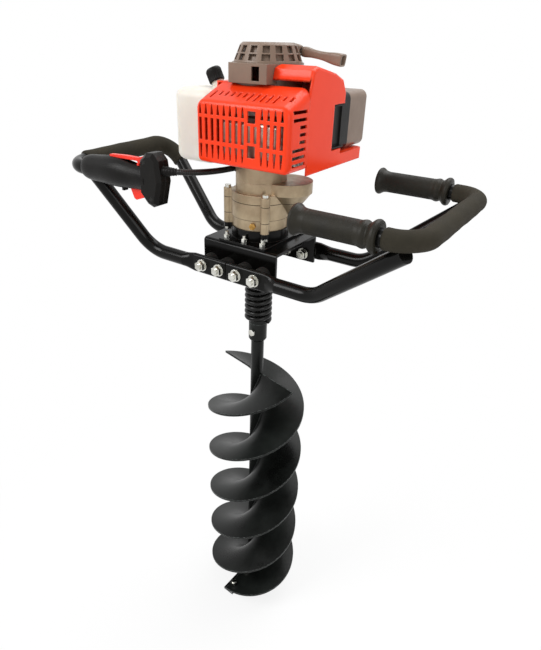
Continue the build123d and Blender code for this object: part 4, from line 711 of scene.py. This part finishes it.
# %% Foam sleeves
def foam_sleeve(name, corners, bend, radius, tube, node):
    """A foam tube whose radius rolls by a few tenths of a millimetre and rounds over within 4 mm of each end, as a
    quarter circle does: the square root of 1 - (1 - share)^2."""
    line, so_far = rounded_line(corners, bend)
    to_end = np.minimum(so_far, so_far[-1] - so_far)
    lip_length = 0.004
    lip = np.sqrt(np.clip(1.0 - (1.0 - np.clip(to_end / lip_length, 0.0, 1.0)) ** 2, 0.0, 1.0))
    angle = np.linspace(0.0, 2 * np.pi, 40, endpoint=False)
    roll = 0.00022 * np.sin(so_far[:, None] * 61.0 + 2 * angle) + 0.00016 * np.sin(so_far[:, None] * 143.0 - angle)
    radii = tube + (radius - tube) * lip[:, None] + roll * lip[:, None]
    piece = skin(name, tube_rings(line, radii, sides=40), "foam")
    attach(piece, "frame")
    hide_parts(node)
    return piece


foam_bend, foam_fit = 0.042, 0.0002
right_foam_radius, left_foam_radius = 0.0146, 0.0165
right_foam_low, right_foam_high = read_off("right_foam_sleeve")
foam_start_x = right_foam_low[0]
bar_x = right_foam_high[0] - right_foam_radius
arm_y = right_foam_high[1] - right_foam_radius
right_corners = [(x, y, handle_height) for x, y in (
    (foam_start_x, -arm_y), (bar_x, -arm_y), (bar_x, arm_y), (foam_start_x, arm_y))]
left_corners = [(-0.321, -0.104, 1.00396), (-0.321, 0.122, 1.010), (-0.28493, 0.11404, 0.97269)]
foams = [
    foam_sleeve("right_bar_foam", right_corners, foam_bend, right_foam_radius, tube_radius + foam_fit,
                "right_foam_sleeve"),
    foam_sleeve("left_bar_foam", left_corners, foam_bend, left_foam_radius, tube_radius + foam_fit,
                "left_foam_sleeve"),
]
print("foam points:", {foam.name: len(foam.data.vertices) for foam in foams})


# %% A turned shape
def turned_rings(profile, origin, axis, sides=96, ripple=None, outline=None):
    """Rings of a turned shape: origin + axis * t + radius * (cos a * side + sin a * third direction), one ring per
    profile pair (t, radius). ripple is taken off the radius, one value per ring and angle, and outline is a factor
    on the radius by angle, for a shape that isn't round."""
    profile = np.array(profile, dtype=float)
    axis = np.array(axis, dtype=float) / np.linalg.norm(axis)
    side = np.cross(axis, (0.0, 0.0, 1.0) if abs(axis[2]) < 0.9 else (1.0, 0.0, 0.0))
    side /= np.linalg.norm(side)
    third = np.cross(axis, side)
    angle = np.linspace(0.0, 2 * np.pi, sides, endpoint=False)
    radius = np.repeat(profile[:, 1:2], sides, axis=1)
    if outline is not None:
        radius = radius * outline(angle[None, :])
    if ripple is not None:
        radius = radius - ripple(profile[:, 0:1], angle[None, :])
    around = np.cos(angle)[:, None] * side + np.sin(angle)[:, None] * third
    return np.array(origin) + profile[:, 0, None, None] * axis + radius[..., None] * around[None, :, :]


# %% Knurled rubber grips
grip_box_low, grip_box_high = read_off("rubber_grips")
grip_start = grip_box_low[0]
grip_end = grip_box_high[0] - grip_start
barrel_low, barrel_high = 0.020, 0.094
grip_stations = np.array([0.0, 1.0, 2.6, 5.0, 8.0, 12.0, 17.0, 96.0, 99.0, 102.0, 105.0, 107.5, 109.5, 112.0, 115.0,
                          117.5, 119.5, 121.2, 122.0]) / 1000
grip_radii = np.array([20.8, 22.1, 22.5, 21.7, 19.4, 17.8, 17.1, 17.0, 17.9, 18.7, 18.3, 16.6, 16.5, 18.6, 21.6,
                       22.4, 22.5, 21.9, 20.6]) / 1000
knurl_pitch, knurl_count, knurl_depth = 0.0027, 40, 0.00055
stations = np.concatenate([[0.0], np.linspace(0.0, grip_end, 270), [grip_end]])
radii = np.interp(stations, grip_stations, grip_radii)
radii[1:-1] = np.convolve(np.pad(radii[1:-1], 3, mode="edge"), np.ones(7) / 7, mode="valid")
radii[0] = radii[-1] = tube_radius


def crossed_knurl(t, angle):
    """Grooves along two families of screw lines that cross. With u counting pitches along the barrel and v pitches
    round it, the depth is the larger of |cos(pi (u + v))| and |cos(pi (u - v))| to the fifth power, and it fades
    out over 2 mm at both ends of the barrel."""
    u = (t - barrel_low) / knurl_pitch
    v = angle / (2 * np.pi) * knurl_count
    groove = np.maximum(np.abs(np.cos(np.pi * (u + v))), np.abs(np.cos(np.pi * (u - v)))) ** 5
    fade = np.clip((t - barrel_low) / 0.002, 0.0, 1.0) * np.clip((barrel_high - t) / 0.002, 0.0, 1.0)
    return knurl_depth * groove * fade


grip_profile = np.stack([stations, radii], axis=1)
for name, side_y in (("front_grip_rubber", -arm_y), ("back_grip_rubber", arm_y)):
    rings = turned_rings(grip_profile, (grip_start, side_y, handle_height), (1, 0, 0), knurl_count * 6, crossed_knurl)
    grip = skin(name, rings, "grip_rubber")
    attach(grip, "frame")
    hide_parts("rubber_grips")
print("grip rings:", len(stations))

# %% [markdown]
# ## Starter rope and fuel cap
# The rope is three strands laid round each other, so its outline has three lobes that turn along its length. It
# runs from the reel into the handle. The handle is a rounded square bar with a waist, hollow at its wide end, and
# the cap is a turned knob with upright ribs.

# %% Starter rope
rope_run = np.array([0.98894, 0.0, -0.14834])
handle_start = np.array([0.045, 0.040, 1.1925])
rope_before_handle, rope_radius, strand_turn = 0.034, 0.002, 0.014
rope_stations = (0.0, 0.030, 0.060, 0.088)
rope_start = handle_start - rope_run * rope_before_handle
rope_route = [tuple(rope_start + rope_run * station) for station in rope_stations]
rope_line, rope_so_far = resample(spline_points("rope_line", rope_route), 0.0008)
rope_angle = np.linspace(0.0, 2 * np.pi, 18, endpoint=False)
lay = 1.5 * (rope_angle[None, :] - rope_so_far[:, None] * 2 * np.pi / strand_turn)
strands = rope_radius * (0.84 + 0.16 * np.abs(np.cos(lay)))
rope = skin("starter_rope_strands", tube_rings(rope_line, strands, 18), "rope")
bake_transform(rope)
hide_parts("starter_rope")
print("rope points:", len(rope.data.vertices))


# %% Starter handle
def squared(angle):
    """The factor on a radius that turns a circle into a rounded square: (|cos a|^5 + |sin a|^5) to the power -1/5."""
    return (np.abs(np.cos(angle)) ** 5 + np.abs(np.sin(angle)) ** 5) ** -0.2


handle_profile = np.array([
    (0.0, 0.0046), (0.0004, 0.0062), (0.002, 0.0070), (0.006, 0.0072), (0.011, 0.0066), (0.018, 0.0058),
    (0.030, 0.0056), (0.040, 0.0061), (0.048, 0.0072), (0.056, 0.0082), (0.064, 0.0086), (0.0690, 0.0086),
    (0.0700, 0.0082), (0.0700, 0.0064), (0.0690, 0.0060), (0.062, 0.0056), (0.0545, 0.0052),
])
handle = skin("starter_handle_grip", turned_rings(handle_profile, handle_start, rope_run, 64, outline=squared),
              "grey_plastic")
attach(handle, "starter_pull")
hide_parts("starter_handle")
guide_before_handle = 0.0165
guide_start = handle_start - rope_run * guide_before_handle
guide_profile = [(0.0, 0.0072), (0.001, 0.0084), (0.010, 0.0080), (0.0128, 0.0070), (0.0132, 0.0058),
                 (0.0126, 0.0040), (0.008, 0.0032)]
guide = skin("rope_guide", turned_rings(guide_profile, guide_start, rope_run, 40), "grey_plastic")
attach(guide, "frame")
print("handle and guide points:", len(handle.data.vertices), len(guide.data.vertices))

# %% Ribbed fuel cap
cap_tilt, cap_rib_count, cap_rib_depth = math.radians(28), 26, 0.0009
cap_axis = np.array([-math.sin(cap_tilt), 0.0, math.cos(cap_tilt)])
tank_neck, neck_length = np.array([-0.086, 0.0, 1.134]), 0.012
cap_foot = tank_neck + cap_axis * neck_length
cap_profile = [(0.0, 0.0098), (0.0, 0.0122), (0.0008, 0.0129), (0.0024, 0.013), (0.003, 0.013), (0.010, 0.013),
               (0.0175, 0.013), (0.0182, 0.0128), (0.0202, 0.0118), (0.0216, 0.0102), (0.022, 0.0085),
               (0.0221, 0.0008)]


def cap_ribs(t, angle):
    """Grooves between the ribs, deepest where cos(count * angle) is -1, fading out at the foot and at the top."""
    fade = np.clip((t - 0.002) / 0.001, 0.0, 1.0) * np.clip((0.0180 - t) / 0.0012, 0.0, 1.0)
    return cap_rib_depth * fade * np.clip(0.5 - 0.9 * np.cos(cap_rib_count * angle), 0.0, 1.0)


cap_rings = turned_rings(cap_profile, cap_foot, cap_axis, cap_rib_count * 8, cap_ribs)
fuel_cap = skin("ribbed_fuel_cap", cap_rings, "black_plastic")
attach(fuel_cap, "fuel_cap")
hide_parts("fuel_cap")
print("cap points:", len(fuel_cap.data.vertices))

# %% [markdown]
# ## Weld beads on the bit
# The flights are plates welded to the shaft. A bead runs along both faces of each plate, a small uneven roll in
# the corner between plate and shaft. Its line is the plate's own screw line, which flattens over the last part of
# the lowest turn, and its radius swells a little at every stroke of the torch.


# %% Screw lines and beads
flight_top, flight_lead = 0.6125, 0.2244
flight_bend_start, flight_end, flight_end_drop = 820.0, 981.0, 0.0553
flight_azimuths = (167.4, -12.6)
bead_line_radius, bead_radius, bead_lift = 0.0133, 0.0019, 0.0031


def plate_height(turned):
    """Height of a flight's middle, by the degrees it has come down: a straight fall of the lead per turn, less a
    share that grows with the square of the angle past the bend."""
    lead_per_degree = flight_lead / 360
    bend_length = flight_end - flight_bend_start
    end_slope = 2 * flight_end_drop / bend_length - lead_per_degree
    past = np.clip(turned - flight_bend_start, 0.0, None)
    fall = lead_per_degree * np.minimum(turned, flight_bend_start) + lead_per_degree * past
    return flight_top - fall - (end_slope - lead_per_degree) * past**2 / (2 * bend_length)


turned = np.linspace(6.0, 972.0, 520)
strokes = bead_radius + 0.0003 * np.abs(np.sin(turned * 0.19)) + 0.00012 * np.sin(turned * 0.047)
for flight_number, top_azimuth in enumerate(flight_azimuths, 1):
    azimuth = np.radians(top_azimuth - turned)
    across, along = bead_line_radius * np.cos(azimuth), bead_line_radius * np.sin(azimuth)
    for face, lift in (("upper", bead_lift), ("lower", -bead_lift)):
        line = np.stack([across, along, plate_height(turned) + lift], axis=1)
        bead = skin(f"weld_bead_{flight_number}_{face}", tube_rings(line, strokes, 10), "bit_black")
        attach(bead, "auger")
print("bead rings:", len(turned))
